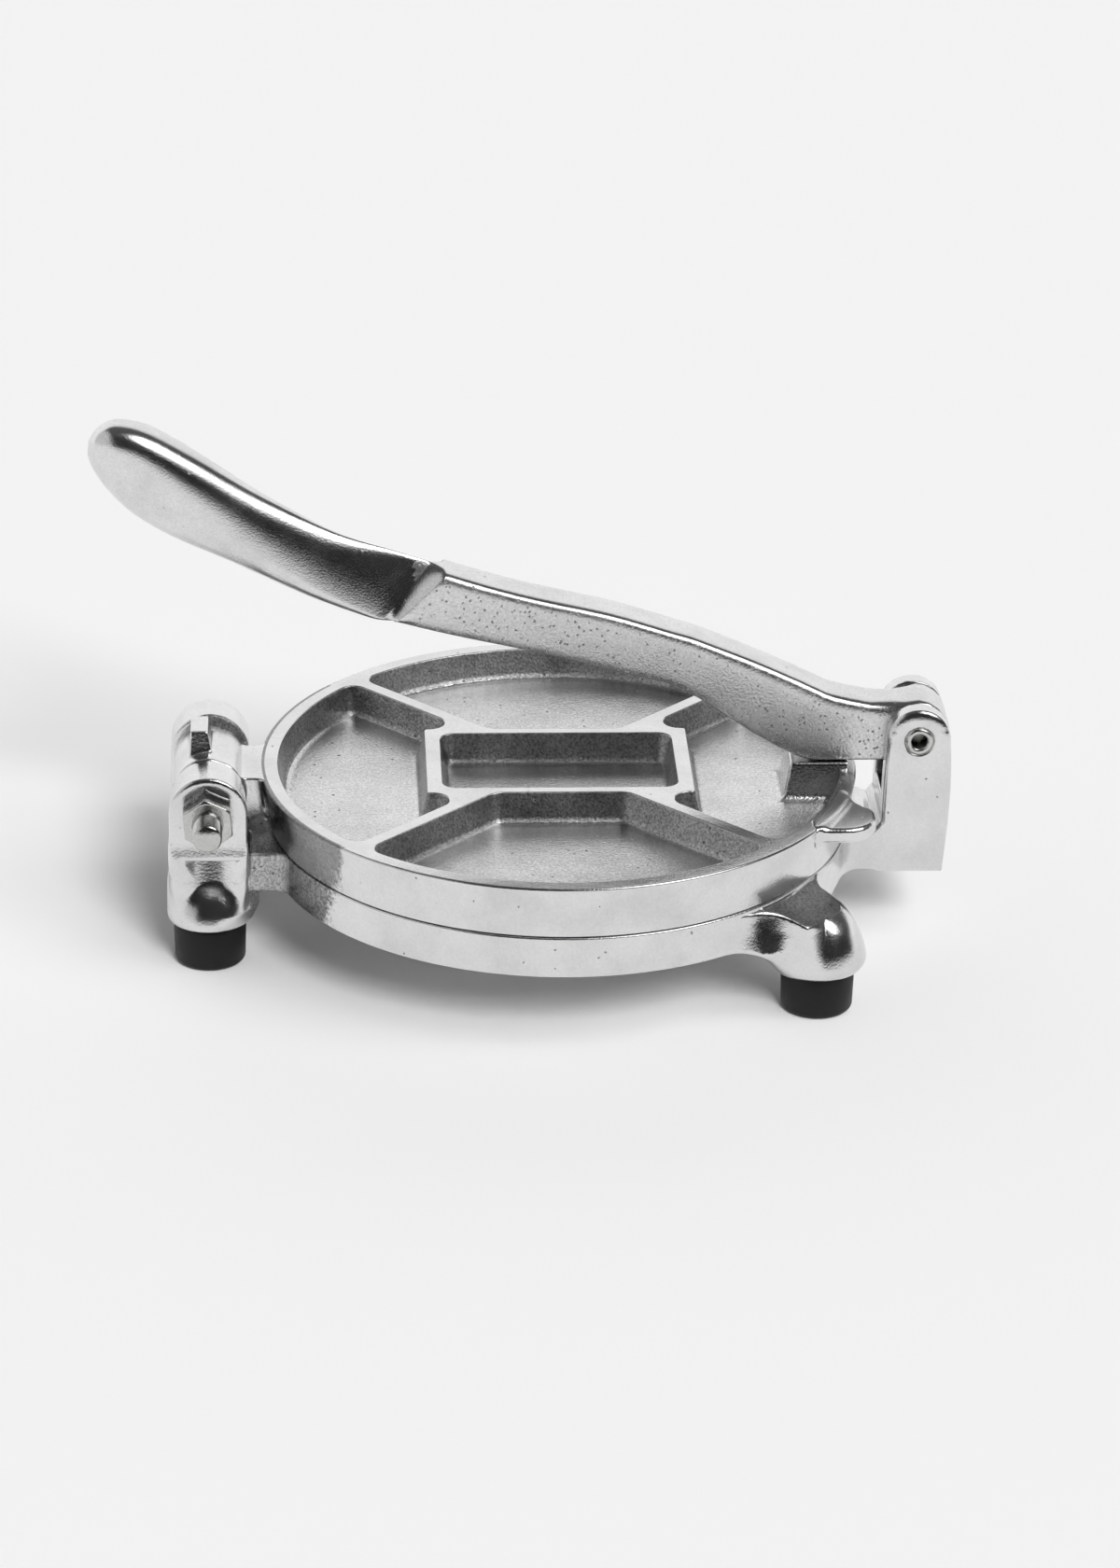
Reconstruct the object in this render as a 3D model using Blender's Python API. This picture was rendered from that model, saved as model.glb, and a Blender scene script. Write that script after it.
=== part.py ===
"""Tortilla press of cast aluminium: a round base on four rubber feet, a hinged top plate and a pressing lever.

X runs from the hinge to the yoke, Y away from the viewer and Z up from the table. Lengths are in metres.
The model is built about the axis of the round plates, and the empty named press centres it over the origin.
"""
import math

import bmesh
import bpy
from mathutils import Matrix, Vector

# Driving dimensions
PLATE_DIAMETER = 0.1650  # across the raised rim of the top plate
PLATE_DRAFT = 0.0022  # the faces that press the dough are smaller all round than the rim
TOP_HEIGHT = 0.0152
TOP_FLOOR = 0.0068
BASE_HEIGHT = 0.0116
BASE_FLOOR = 0.0078
LEG_DROP = 0.0107  # from the base's lower rim to the cast bottoms of the legs
FOOT_HEIGHT = 0.0119
FIT_GAP = 0.0003  # running clearance between neighbouring pieces
HINGE_STANDOFF = 0.0140  # hinge axis outside the rim of the top plate
YOKE_STANDOFF = 0.0162  # lever pin outside the rim of the top plate
LEVER_CLEAR = 0.0020  # flat underside of the lever above the rim
LEVER_OVERHANG = 0.0315  # tip of the grip beyond the hinge axis
LEVER_LIFT = 0.0900  # top of the grip's end above the lever pin

# Hinge
BOLT_DIAMETER = 0.0080
KNUCKLE_RADIUS = 0.0090
KNUCKLE_LENGTH = 0.0240
KNUCKLE_CLEAR = 0.0028  # knuckle above the base
EAR_THICKNESS = 0.0150
EAR_RADIUS = 0.0108
EAR_ROUNDING = 0.0018
REAR_EAR_ROUNDING = 0.0050  # along the outer edge of the rear ear

# Lever pivot
PIN_DIAMETER = 0.0078
PIN_BORE = 0.0044
EYE_RADIUS = 0.0090
EYE_WIDTH = 0.0146
YOKE_WIDTH = 0.0273
YOKE_RADIUS = 0.0088

# Levels and places that follow from them
plate_radius = PLATE_DIAMETER / 2
parting_radius = plate_radius - PLATE_DRAFT
leg_bottom = FOOT_HEIGHT + FIT_GAP
base_bottom = leg_bottom + LEG_DROP
base_top = base_bottom + BASE_HEIGHT
top_bottom = base_top + FIT_GAP
top_top = top_bottom + TOP_HEIGHT
hinge_x = -(plate_radius + HINGE_STANDOFF)
hinge_z = base_top + KNUCKLE_CLEAR + KNUCKLE_RADIUS
ear_inner = KNUCKLE_LENGTH / 2 + FIT_GAP
ear_outer = ear_inner + EAR_THICKNESS
pin_x = plate_radius + YOKE_STANDOFF
pin_z = top_top + LEVER_CLEAR + EYE_RADIUS
lever_reach = pin_x - hinge_x + LEVER_OVERHANG
bolt_hole_radius = BOLT_DIAMETER / 2 + FIT_GAP
pin_hole_radius = PIN_DIAMETER / 2 + FIT_GAP

OVERRUN = 0.0040  # how far a cutter runs past what it cuts, and a joined piece into its neighbour
ROUND_STEPS = 96
SMALL_STEPS = 32
FILLET_STEPS = 4


# Shapes

def arc(centre, radius, start, end, steps):
    """Points of an arc in a plane, with its angles in degrees."""
    angles = [math.radians(start + (end - start) * i / steps) for i in range(steps + 1)]
    return [(centre[0] + radius * math.cos(a), centre[1] + radius * math.sin(a)) for a in angles]


def circle(centre, radius, steps):
    return arc(centre, radius, 0, 360, steps)[:-1]


def box_outline(low, high):
    return [low, (high[0], low[1]), high, (low[0], high[1])]


def rounded(corners):
    """An outline from corners of (point, radius), each turned into an arc where its radius isn't zero."""
    outline = []
    for index, (point, radius) in enumerate(corners):
        here = Vector(point)
        before = (Vector(corners[index - 1][0]) - here).normalized()
        after = (Vector(corners[(index + 1) % len(corners)][0]) - here).normalized()
        if radius == 0:
            outline.append(point)
            continue
        half = before.angle(after) / 2
        centre = here + (before + after).normalized() * radius / math.sin(half)
        first = here + before * radius / math.tan(half) - centre
        last = here + after * radius / math.tan(half) - centre
        for step in range(FILLET_STEPS + 1):
            share = step / FILLET_STEPS
            spoke = first.slerp(last, share).normalized()
            outline.append(tuple(centre + spoke * radius))
    return outline


def new_object(name, mesh):
    mesh.update()
    thing = bpy.data.objects.new(name, mesh)
    bpy.context.scene.collection.objects.link(thing)
    return thing


def from_bmesh(name, bm):
    bmesh.ops.recalc_face_normals(bm, faces=bm.faces)
    mesh = bpy.data.meshes.new(name)
    bm.to_mesh(mesh)
    bm.free()
    return new_object(name, mesh)


def prism(name, outline, low, high, along="Z", rounding=0, rounding_steps=2):
    """An outline pushed from low to high. Along Z the outline is in X and Y, along Y it is in X and Z."""
    bm = bmesh.new()
    if along == "Z":
        corners = [bm.verts.new((a, b, low)) for a, b in outline]
        push = Vector((0, 0, high - low))
    else:
        corners = [bm.verts.new((a, low, b)) for a, b in outline]
        push = Vector((0, high - low, 0))
    face = bm.faces.new(corners)
    pushed = bmesh.ops.extrude_face_region(bm, geom=[face])["geom"]
    bmesh.ops.translate(bm, vec=push, verts=[v for v in pushed if isinstance(v, bmesh.types.BMVert)])
    if rounding:
        direction = push.normalized()
        rims = [e for e in bm.edges if abs((e.verts[1].co - e.verts[0].co).normalized().dot(direction)) < 0.5]
        bmesh.ops.bevel(bm, geom=rims, offset=rounding, segments=rounding_steps, profile=0.5, affect="EDGES")
    return from_bmesh(name, bm)


def turned(name, profile, steps, centre=(0, 0)):
    """A profile of radius and height, from the axis and back to it, spun about an upright axis."""
    bm = bmesh.new()
    points = [bm.verts.new((radius, 0, height)) for radius, height in profile]
    edges = [bm.edges.new(pair) for pair in zip(points, points[1:])]
    bmesh.ops.spin(bm, geom=points + edges, cent=(0, 0, 0), axis=(0, 0, 1), angle=math.tau, steps=steps)
    bmesh.ops.remove_doubles(bm, verts=bm.verts, dist=FIT_GAP / 100)
    bmesh.ops.translate(bm, vec=(centre[0], centre[1], 0), verts=bm.verts)
    return from_bmesh(name, bm)


def wrapped(name, points):
    """The convex skin round a set of points."""
    bm = bmesh.new()
    for point in points:
        bm.verts.new(point)
    hull = bmesh.ops.convex_hull(bm, input=bm.verts)
    inside = {v for v in hull["geom_interior"] + hull["geom_unused"] if isinstance(v, bmesh.types.BMVert)}
    bmesh.ops.delete(bm, geom=list(inside), context="VERTS")
    return from_bmesh(name, bm)


def lofted(name, rings):
    """Rings of equally many points, joined in order and closed at both ends."""
    bm = bmesh.new()
    rows = [[bm.verts.new(point) for point in ring] for ring in rings]
    for row, following in zip(rows, rows[1:]):
        for i, corner in enumerate(row):
            j = (i + 1) % len(row)
            bm.faces.new((corner, row[j], following[j], following[i]))
    bm.faces.new(rows[0])
    bm.faces.new(rows[-1])
    return from_bmesh(name, bm)


def combine(target, tools, operation):
    """Joins tools to the target or cuts them out of it, and removes them."""
    for tool in tools:
        modifier = target.modifiers.new(tool.name, "BOOLEAN")
        modifier.operation = operation
        modifier.object = tool
    depsgraph = bpy.context.evaluated_depsgraph_get()
    target_mesh = bpy.data.meshes.new_from_object(target.evaluated_get(depsgraph))
    target.modifiers.clear()
    target.data = target_mesh
    target_mesh.name = target.name
    for tool in tools:
        bpy.data.objects.remove(tool)


def finish(thing, material, parent, origin, smooth_angle=math.radians(35)):
    """Gives a piece its material and its origin, and hangs it on its parent."""
    thing.data.transform(Matrix.Translation(-Vector(origin)))
    thing.location = origin
    thing.parent = parent
    thing.data.materials.clear()
    thing.data.materials.append(material)
    thing.data.shade_smooth()
    thing.data.set_sharp_from_angle(angle=smooth_angle)


def surface(name, colour, metallic, roughness):
    material = bpy.data.materials.new(name)
    material.use_nodes = True
    shader = material.node_tree.nodes["Principled BSDF"]
    shader.inputs["Base Color"].default_value = (*colour, 1)
    shader.inputs["Metallic"].default_value = metallic
    shader.inputs["Roughness"].default_value = roughness
    return material


# Pattern of pockets that lightens both castings: a rectangle in the middle and four pockets round it

FRAME_LENGTH = 0.0648
FRAME_WIDTH = 0.0358
END_WALL = 0.0043
SIDE_WALL = 0.0035
RIB_WIDTH = 0.0044
TOP_RIM_WIDTH = 0.0049
BASE_RIM_WIDTH = 0.0052
RECTANGLE_FILLET = 0.0040
NOTCH_FILLET = 0.0045
RIB_FILLET = 0.0060
RIM_FILLET = 0.0040


def rim_corner(rim_radius, side):
    """Arc between a diagonal rib and the rim, on the rib's far side from X where side is 1."""
    across = side * (RIB_WIDTH / 2 + RIM_FILLET)
    along = math.sqrt((rim_radius - RIM_FILLET) ** 2 - across ** 2)
    centre = ((along - across) * math.sqrt(0.5), (along + across) * math.sqrt(0.5))
    bearing = math.degrees(math.atan2(centre[1], centre[0]))
    return arc(centre, RIM_FILLET, 45 - side * 90, bearing, FILLET_STEPS), bearing


def side_pocket(rim_radius):
    """Outline of the pocket at the yoke's end."""
    frame_x = FRAME_LENGTH / 2 + END_WALL
    frame_y = FRAME_WIDTH / 2 + SIDE_WALL
    notch_y = frame_y + NOTCH_FILLET
    notch_x = notch_y + math.sqrt(2) * (RIB_WIDTH / 2 + NOTCH_FILLET)
    corner, bearing = rim_corner(rim_radius, -1)
    half = [(frame_x, frame_y), *arc((notch_x, notch_y), NOTCH_FILLET, -90, -225, 2 * FILLET_STEPS), *corner]
    rim = arc((0, 0), rim_radius, bearing, -bearing, ROUND_STEPS // 4)[1:-1]
    return half + rim + [(x, -y) for x, y in reversed(half)]


def rear_pocket(rim_radius):
    """Outline of the pocket furthest from the viewer."""
    frame_y = FRAME_WIDTH / 2 + SIDE_WALL
    fillet_y = frame_y + RIB_FILLET
    fillet_x = fillet_y - math.sqrt(2) * (RIB_WIDTH / 2 + RIB_FILLET)
    corner, bearing = rim_corner(rim_radius, 1)
    half = [*arc((fillet_x, fillet_y), RIB_FILLET, -90, -45, FILLET_STEPS), *corner]
    rim = arc((0, 0), rim_radius, bearing, 180 - bearing, ROUND_STEPS // 4)[1:-1]
    return half + rim + [(-x, y) for x, y in reversed(half)]


def pocket_cutters(rim_radius, low, high):
    x, y = FRAME_LENGTH / 2, FRAME_WIDTH / 2
    middle = rounded([(corner, RECTANGLE_FILLET) for corner in box_outline((-x, -y), (x, y))])
    side = side_pocket(rim_radius)
    rear = rear_pocket(rim_radius)
    outlines = {
        "middle": middle,
        "yoke_end": side,
        "hinge_end": [(-x, y) for x, y in side],
        "rear": rear,
        "front": [(x, -y) for x, y in rear],
    }
    return [prism(f"pocket_{name}", outline, low, high) for name, outline in outlines.items()]


# Feet and legs

FOOT_RADIUS = 0.0100
FOOT_TAPER = 0.0003
FOOT_EDGE = 0.0016
FOOT_SOLE = 0.0022
PEG_RADIUS = 0.0060
HINGE_LEG_SWELL = 0.0003  # leg wider than the ear above it
HINGE_LEG_OFFSET = 0.0006  # middle of a leg outside the middle of its ear
HINGE_LEG_SHOULDER = 0.0030  # below the base's face, where the bulge under the ear starts
HINGE_LEG_BULGE = 0.0050  # height in which the bulge swells to its full width
LEG_EDGE = 0.0022
TOE_RADIUS = 0.0127
TOE_STANDOFF = 0.0061  # centre of a toe outside the plates' edge
TOE_BEARING = 37.2
TOE_CROWN = 0.0170
TOE_NEAR = 9.0  # degrees of the base's edge that a toe's root takes on the side of the yoke
TOE_FAR = 16.0
TOE_ROOT_DROP = 0.0015

hinge_leg_y = (ear_inner + ear_outer) / 2 + HINGE_LEG_OFFSET
toe_reach = parting_radius + TOE_STANDOFF


def leg_places():
    """Where the four legs stand, by the name of their foot."""
    toe = math.radians(TOE_BEARING)
    toe_x, toe_y = toe_reach * math.cos(toe), toe_reach * math.sin(toe)
    return {
        "front_left": (hinge_x, -hinge_leg_y),
        "rear_left": (hinge_x, hinge_leg_y),
        "front_right": (toe_x, -toe_y),
        "rear_right": (toe_x, toe_y),
    }


def lifted(outline, height):
    return [(x, y, height) for x, y in outline]


def leg_rings(centre, radius, profile):
    """Points of a leg from a profile of inset and height above its cast bottom."""
    points = []
    for inset, height in profile:
        points += lifted(circle(centre, radius - inset, SMALL_STEPS), leg_bottom + height)
    return points


def hinge_leg(name, centre):
    """Round leg under a hinge ear, bulging past the ear's outer face."""
    tuck = HINGE_LEG_SWELL
    side = math.copysign(1, centre[1])
    half = EAR_RADIUS - tuck
    shoulder = base_top - HINGE_LEG_SHOULDER - leg_bottom
    bulge = arc((HINGE_LEG_BULGE, shoulder - HINGE_LEG_BULGE), HINGE_LEG_BULGE, 180, 130, FILLET_STEPS)
    edge = arc((LEG_EDGE, LEG_EDGE), LEG_EDGE, 180, 270, FILLET_STEPS)
    points = leg_rings(centre, EAR_RADIUS + tuck, edge + bulge)
    inner, outer = side * (ear_inner + tuck), side * (ear_outer - tuck)
    points += lifted(box_outline((centre[0] - half, inner), (centre[0] + half, outer)), base_top - tuck)
    return wrapped(name, points)


def toe_leg(name, centre):
    """Toe that flares out of the base's edge and down to its foot, with a domed crown."""
    side = math.copysign(1, centre[1])
    root = arc((0, 0), parting_radius - OVERRUN, side * (TOE_BEARING - TOE_NEAR),
               side * (TOE_BEARING + TOE_FAR), 2 * FILLET_STEPS)
    edge = arc((LEG_EDGE, LEG_EDGE), LEG_EDGE, 180, 270, FILLET_STEPS)
    quarter = arc((0, 0), 1, 0, 60, 2 * FILLET_STEPS)
    crown = [(TOE_RADIUS * (1 - across), LEG_EDGE + TOE_CROWN * up) for across, up in quarter]
    points = leg_rings(centre, TOE_RADIUS, edge + crown)
    points += lifted(root, base_top - TOE_ROOT_DROP)
    points += lifted(root, base_bottom + TOE_ROOT_DROP)
    return wrapped(name, points)


def foot(name, centre):
    """Rubber cap with a blind hole, pushed up over the peg cast under a leg."""
    low_radius = FOOT_RADIUS - FOOT_TAPER
    edge = arc((low_radius - FOOT_EDGE, FOOT_EDGE), FOOT_EDGE, -90, 0, FILLET_STEPS)
    bore = PEG_RADIUS + FIT_GAP
    profile = [(0, 0), *edge, (FOOT_RADIUS, FOOT_HEIGHT), (bore, FOOT_HEIGHT), (bore, FOOT_SOLE), (0, FOOT_SOLE)]
    return turned(name, profile, SMALL_STEPS, centre)


# Base casting

SLAB_WIDTH = 0.0530  # cast shelf that carries the hinge ears
SLAB_BLEND = 0.0040
SLAB_BEYOND = 0.0070  # shelf past the hinge axis
ARM_RECESS = 0.0003  # rough arm inside the ground sides of the yoke
ARM_BLEND = 0.0090
PLATE_EDGE = 0.0008
YOKE_DROP = 0.0016  # yoke below the base's lower rim
YOKE_FILLET = 0.0036
YOKE_ROUNDING = 0.0014
SLOT_FLOOR = 0.0097  # open below the lever's eye
peg_length = FOOT_HEIGHT - FOOT_SOLE


def arm_blend(half_width, blend):
    """Arc from the side of an arm on +X, at +Y, to the edge of the base, with the bearing where it ends."""
    centre_y = half_width + blend
    centre_x = math.sqrt((parting_radius + blend) ** 2 - centre_y ** 2)
    bearing = math.degrees(math.atan2(centre_y, centre_x))
    return arc((centre_x, centre_y), blend, -90, bearing - 180, FILLET_STEPS), bearing


def base_outline():
    """Round plate with the yoke's arm on +X and the hinge shelf on -X, in one outline."""
    arm_y = YOKE_WIDTH / 2 - ARM_RECESS
    shelf_y = SLAB_WIDTH / 2
    arm, arm_bearing = arm_blend(arm_y, ARM_BLEND)
    shelf, shelf_bearing = arm_blend(shelf_y, SLAB_BLEND)
    edge = arc((0, 0), parting_radius, arm_bearing, 180 - shelf_bearing, ROUND_STEPS // 2)[1:-1]
    half = [(pin_x, arm_y), *arm, *edge, *[(-x, y) for x, y in reversed(shelf)]]
    half.append((hinge_x - SLAB_BEYOND, shelf_y))
    return half + [(x, -y) for x, y in reversed(half)]


def ear_outline(centre, radius, foot_level):
    """Upright with a round top, in X and Z."""
    left, right = centre[0] - radius, centre[0] + radius
    return [(left, foot_level), (right, foot_level), *arc(centre, radius, 0, 180, SMALL_STEPS // 2)]


def ear(name, side, outer_rounding):
    """Upright hinge ear with rounded edges, the outer one more or less heavily."""
    stations = arc((ear_inner + EAR_ROUNDING, EAR_ROUNDING), EAR_ROUNDING, 180, 270, FILLET_STEPS)
    stations += arc((ear_outer - outer_rounding, outer_rounding), outer_rounding, 270, 360, FILLET_STEPS)
    rings = []
    for y, inset in stations:
        outline = ear_outline((hinge_x, hinge_z), EAR_RADIUS - inset, base_bottom + SLAB_BLEND)
        rings.append([(x, side * y, z) for x, z in outline])
    return lofted(name, rings)


def yoke():
    """Upright fork at the end of the base's arm, with a fillet down onto the arm."""
    left, right = pin_x - YOKE_RADIUS, pin_x + YOKE_RADIUS
    low = base_bottom - YOKE_DROP
    fillet = arc((left - YOKE_FILLET, base_top + YOKE_FILLET), YOKE_FILLET, 0, -90, FILLET_STEPS)
    outline = [(left, low), (right, low), *arc((pin_x, pin_z), YOKE_RADIUS, 0, 180, SMALL_STEPS // 2)]
    outline += [*fillet, (left - YOKE_FILLET, base_bottom + YOKE_DROP)]
    return prism("yoke", outline, -YOKE_WIDTH / 2, YOKE_WIDTH / 2, "Y", YOKE_ROUNDING)


def hole(name, x, z, radius, half_length):
    return prism(name, circle((x, z), radius, SMALL_STEPS), -half_length, half_length, "Y")


def base():
    body = prism("base", base_outline(), base_bottom, base_top, "Z", PLATE_EDGE)
    joined = [yoke(), ear("ear_front", -1, EAR_ROUNDING), ear("ear_rear", 1, REAR_EAR_ROUNDING)]
    for name, centre in leg_places().items():
        leg = hinge_leg if name.endswith("left") else toe_leg
        joined.append(leg(f"leg_{name}", centre))
        peg = circle(centre, PEG_RADIUS, SMALL_STEPS)
        joined.append(prism("peg", peg, leg_bottom - peg_length, leg_bottom + OVERRUN))
    combine(body, joined, "UNION")
    slot_half = EYE_WIDTH / 2 + FIT_GAP
    slot_low = (pin_x - YOKE_RADIUS - OVERRUN, pin_z - EYE_RADIUS - SLOT_FLOOR)
    slot_high = (pin_x + YOKE_RADIUS + OVERRUN, pin_z + YOKE_RADIUS + OVERRUN)
    cutters = pocket_cutters(parting_radius - BASE_RIM_WIDTH, base_bottom - YOKE_DROP - OVERRUN, base_top - BASE_FLOOR)
    cutters.append(prism("slot", box_outline(slot_low, slot_high), -slot_half, slot_half, "Y"))
    cutters.append(hole("bolt_hole", hinge_x, hinge_z, bolt_hole_radius, ear_outer + OVERRUN))
    cutters.append(hole("pin_hole", pin_x, pin_z, pin_hole_radius, YOKE_WIDTH / 2 + OVERRUN))
    combine(body, cutters, "DIFFERENCE")
    return body


# Top plate casting

RIM_EDGE = 0.0010
PLATE_ARM_WIDTH = 0.0226
PLATE_ARM_STEP = 0.0006  # top of the arm below the rim
PLATE_ARM_HEIGHT = 0.0124
TAB_THICKNESS = 0.0044
TAB_STEP = 0.0003
TAB_BEYOND = 0.0025  # end of a lifting tab outside the rim
TAB_OUTER = 0.0460
TAB_INNER = 0.0300
TAB_ROOT = 0.0180
TAB_CORNER = 0.0090
TAB_TURN = 0.0050
STOP_WIDTH = 0.0047
STOP_DEPTH = 0.0108
STOP_RISE = 0.0062
STOP_OFFSET = 0.0026
BLOCK_LENGTH = 0.0162
BLOCK_WIDTH = 0.0134
BLOCK_END_DRAFT = 0.0030
BLOCK_SIDE_DRAFT = 0.0010
BLOCK_INSET = 0.0023  # outer end of the pressing block inside the rim's edge


def lifting_tab(name, side):
    """Tab beside the yoke, by which the plate is lifted."""
    end = plate_radius + TAB_BEYOND
    root = plate_radius - TAB_ROOT
    corners = [((root, TAB_OUTER), 0), ((end, TAB_OUTER), TAB_CORNER), ((end, TAB_INNER), TAB_TURN),
               ((plate_radius - TAB_CORNER, TAB_ROOT), 0), ((root, TAB_ROOT), 0)]
    outline = [(x, side * y) for x, y in rounded(corners)]
    high = top_top - TAB_STEP
    return prism(name, outline, high - TAB_THICKNESS, high)


def pressing_block():
    """Drafted block on the pocket's floor, which the lever bears down on."""
    right = plate_radius - BLOCK_INSET
    left = right - BLOCK_LENGTH
    half = BLOCK_WIDTH / 2
    low = top_bottom + TOP_FLOOR / 2
    high = pin_z - EYE_RADIUS - FIT_GAP
    points = lifted(box_outline((left, -half), (right, half)), high)
    wide = half + BLOCK_SIDE_DRAFT
    points += lifted(box_outline((left - BLOCK_END_DRAFT, -wide), (right, wide)), low)
    return wrapped("pressing_block", points)


def top_plate():
    profile = [
        (0, top_bottom),
        *arc((parting_radius - PLATE_EDGE, top_bottom + PLATE_EDGE), PLATE_EDGE, -90, 0, 2),
        *arc((plate_radius - RIM_EDGE, top_top - RIM_EDGE), RIM_EDGE, 0, 90, 2),
        (0, top_top),
    ]
    body = turned("top_plate", profile, ROUND_STEPS)
    rim_radius = plate_radius - TOP_RIM_WIDTH
    combine(body, pocket_cutters(rim_radius, top_bottom + TOP_FLOOR, top_top + OVERRUN), "DIFFERENCE")
    arm_top = top_top - PLATE_ARM_STEP
    arm_half = PLATE_ARM_WIDTH / 2
    arm = box_outline((hinge_x, -arm_half), (-(plate_radius - TOP_RIM_WIDTH / 2), arm_half))
    knuckle_half = KNUCKLE_LENGTH / 2
    knuckle = circle((hinge_x, hinge_z), KNUCKLE_RADIUS, SMALL_STEPS)
    stop_x = hinge_x - STOP_OFFSET
    stop_top = hinge_z + KNUCKLE_RADIUS + STOP_RISE
    stop = box_outline((stop_x - STOP_WIDTH / 2, hinge_z), (stop_x + STOP_WIDTH / 2, stop_top))
    joined = [
        prism("arm", arm, arm_top - PLATE_ARM_HEIGHT, arm_top),
        prism("knuckle", knuckle, -knuckle_half, knuckle_half, "Y"),
        prism("stop", stop, -STOP_DEPTH / 2, STOP_DEPTH / 2, "Y"),
        lifting_tab("tab_front", -1),
        lifting_tab("tab_rear", 1),
        pressing_block(),
    ]
    combine(body, joined, "UNION")
    combine(body, [hole("bolt_hole", hinge_x, hinge_z, bolt_hole_radius, knuckle_half + OVERRUN)], "DIFFERENCE")
    return body


# Lever

LEVER_WIDTH = 0.0142
GRIP_WIDTH = 0.0176
SECTION_STEPS = 24
BAR_POWERS = (3.2, 9.0)  # how square the section is above and below its middle
GRIP_POWERS = (2.3, 2.3)

# Reach of the underside, its lift, reach of the top, its lift, and width. Reach is a share of the way from the
# pin to the tip, lift a share of the way from the flat underside to the highest point of the grip, and width a
# share of the bar's width up to the shoulder and of the grip's beyond it.
BAR_SHARES = (
    (0.000, 0.000, 0.000, 0.177, 1.0),
    (0.062, 0.000, 0.057, 0.173, 1.0),
    (0.119, 0.000, 0.101, 0.196, 1.0),
    (0.137, 0.007, 0.125, 0.221, 1.0),
    (0.154, 0.022, 0.150, 0.249, 1.0),
    (0.198, 0.081, 0.201, 0.303, 1.0),
    (0.251, 0.166, 0.251, 0.351, 1.0),
    (0.278, 0.205, 0.275, 0.373, 1.0),
    (0.304, 0.236, 0.300, 0.391, 1.0),
    (0.362, 0.270, 0.375, 0.445, 1.0),
    (0.459, 0.329, 0.459, 0.490, 1.0),
    (0.565, 0.384, 0.516, 0.525, 1.0),
    (0.634, 0.425, 0.572, 0.566, 1.0),
)
GRIP_SHARES = (
    (0.640, 0.420, 0.578, 0.571, 0.70),
    (0.670, 0.435, 0.631, 0.610, 0.73),
    (0.741, 0.494, 0.706, 0.669, 0.82),
    (0.829, 0.591, 0.794, 0.782, 0.94),
    (0.900, 0.665, 0.873, 0.903, 1.00),
    (0.948, 0.734, 0.926, 0.973, 0.95),
    (0.977, 0.802, 0.964, 0.993, 0.79),
    (0.994, 0.862, 0.986, 0.974, 0.52),
    (1.000, 0.900, 0.998, 0.940, 0.20),
)
ROW_STEPS = 3


def smoothed(rows):
    """The rows with others between them, on a curve that passes through them all."""
    fuller = []
    last = len(rows) - 1
    for index in range(last):
        near = [rows[max(index - 1, 0)], rows[index], rows[index + 1], rows[min(index + 2, last)]]
        for step in range(ROW_STEPS):
            t = step / ROW_STEPS
            weights = (-t + 2 * t**2 - t**3, 2 - 5 * t**2 + 3 * t**3, t + 4 * t**2 - 3 * t**3, t**3 - t**2)
            fuller.append([sum(w * value for w, value in zip(weights, values)) / 2 for values in zip(*near)])
    return fuller + [rows[last]]


def signed_power(value, power):
    return math.copysign(abs(value) ** power, value)


def lever_ring(row, width, powers):
    """One closed section of the lever, square or round by its powers."""
    lift = LEVER_LIFT + EYE_RADIUS
    under = Vector((pin_x - row[0] * lever_reach, 0, pin_z - EYE_RADIUS + row[1] * lift))
    over = Vector((pin_x - row[2] * lever_reach, 0, pin_z - EYE_RADIUS + row[3] * lift))
    middle, half_height = (under + over) / 2, (over - under) / 2
    half_width = row[4] * width / 2
    ring = []
    for step in range(SECTION_STEPS):
        angle = math.tau * step / SECTION_STEPS
        power = powers[0] if math.sin(angle) > 0 else powers[1]
        point = middle + half_height * signed_power(math.sin(angle), 2 / power)
        point.y = half_width * signed_power(math.cos(angle), 2 / power)
        ring.append(point)
    return ring


def lever():
    rings = [lever_ring(row, LEVER_WIDTH, BAR_POWERS) for row in smoothed(BAR_SHARES)]
    rings += [lever_ring(row, GRIP_WIDTH, GRIP_POWERS) for row in smoothed(GRIP_SHARES)]
    body = lofted("lever", rings)
    combine(body, [hole("eye", pin_x, pin_z, EYE_RADIUS, EYE_WIDTH / 2)], "UNION")
    combine(body, [hole("pin_hole", pin_x, pin_z, pin_hole_radius, EYE_WIDTH / 2 + OVERRUN)], "DIFFERENCE")
    return body


# Fasteners

HEX_WIDTH = 0.0130
HEAD_HEIGHT = 0.0060
NUT_HEIGHT = 0.0062
NUT_TURN = 5.0
BOLT_BEYOND = 0.0088  # thread past the nut
PIN_PROUD = 0.0003
PIN_CHAMFER = 0.0006


def hexagon(x, z, turn):
    return arc((x, z), HEX_WIDTH / math.sqrt(3), turn, turn + 360, 6)[:-1]


def hinge_bolt():
    """Bolt through both ears and the knuckle, its head at the rear."""
    seat = ear_outer + FIT_GAP
    end = -(ear_outer + FIT_GAP + NUT_HEIGHT + BOLT_BEYOND)
    body = prism("hinge_bolt", hexagon(hinge_x, hinge_z, 15), seat, seat + HEAD_HEIGHT, "Y")
    shank = circle((hinge_x, hinge_z), BOLT_DIAMETER / 2, SMALL_STEPS)
    combine(body, [prism("shank", shank, end, seat + HEAD_HEIGHT / 2, "Y")], "UNION")
    return body


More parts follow.
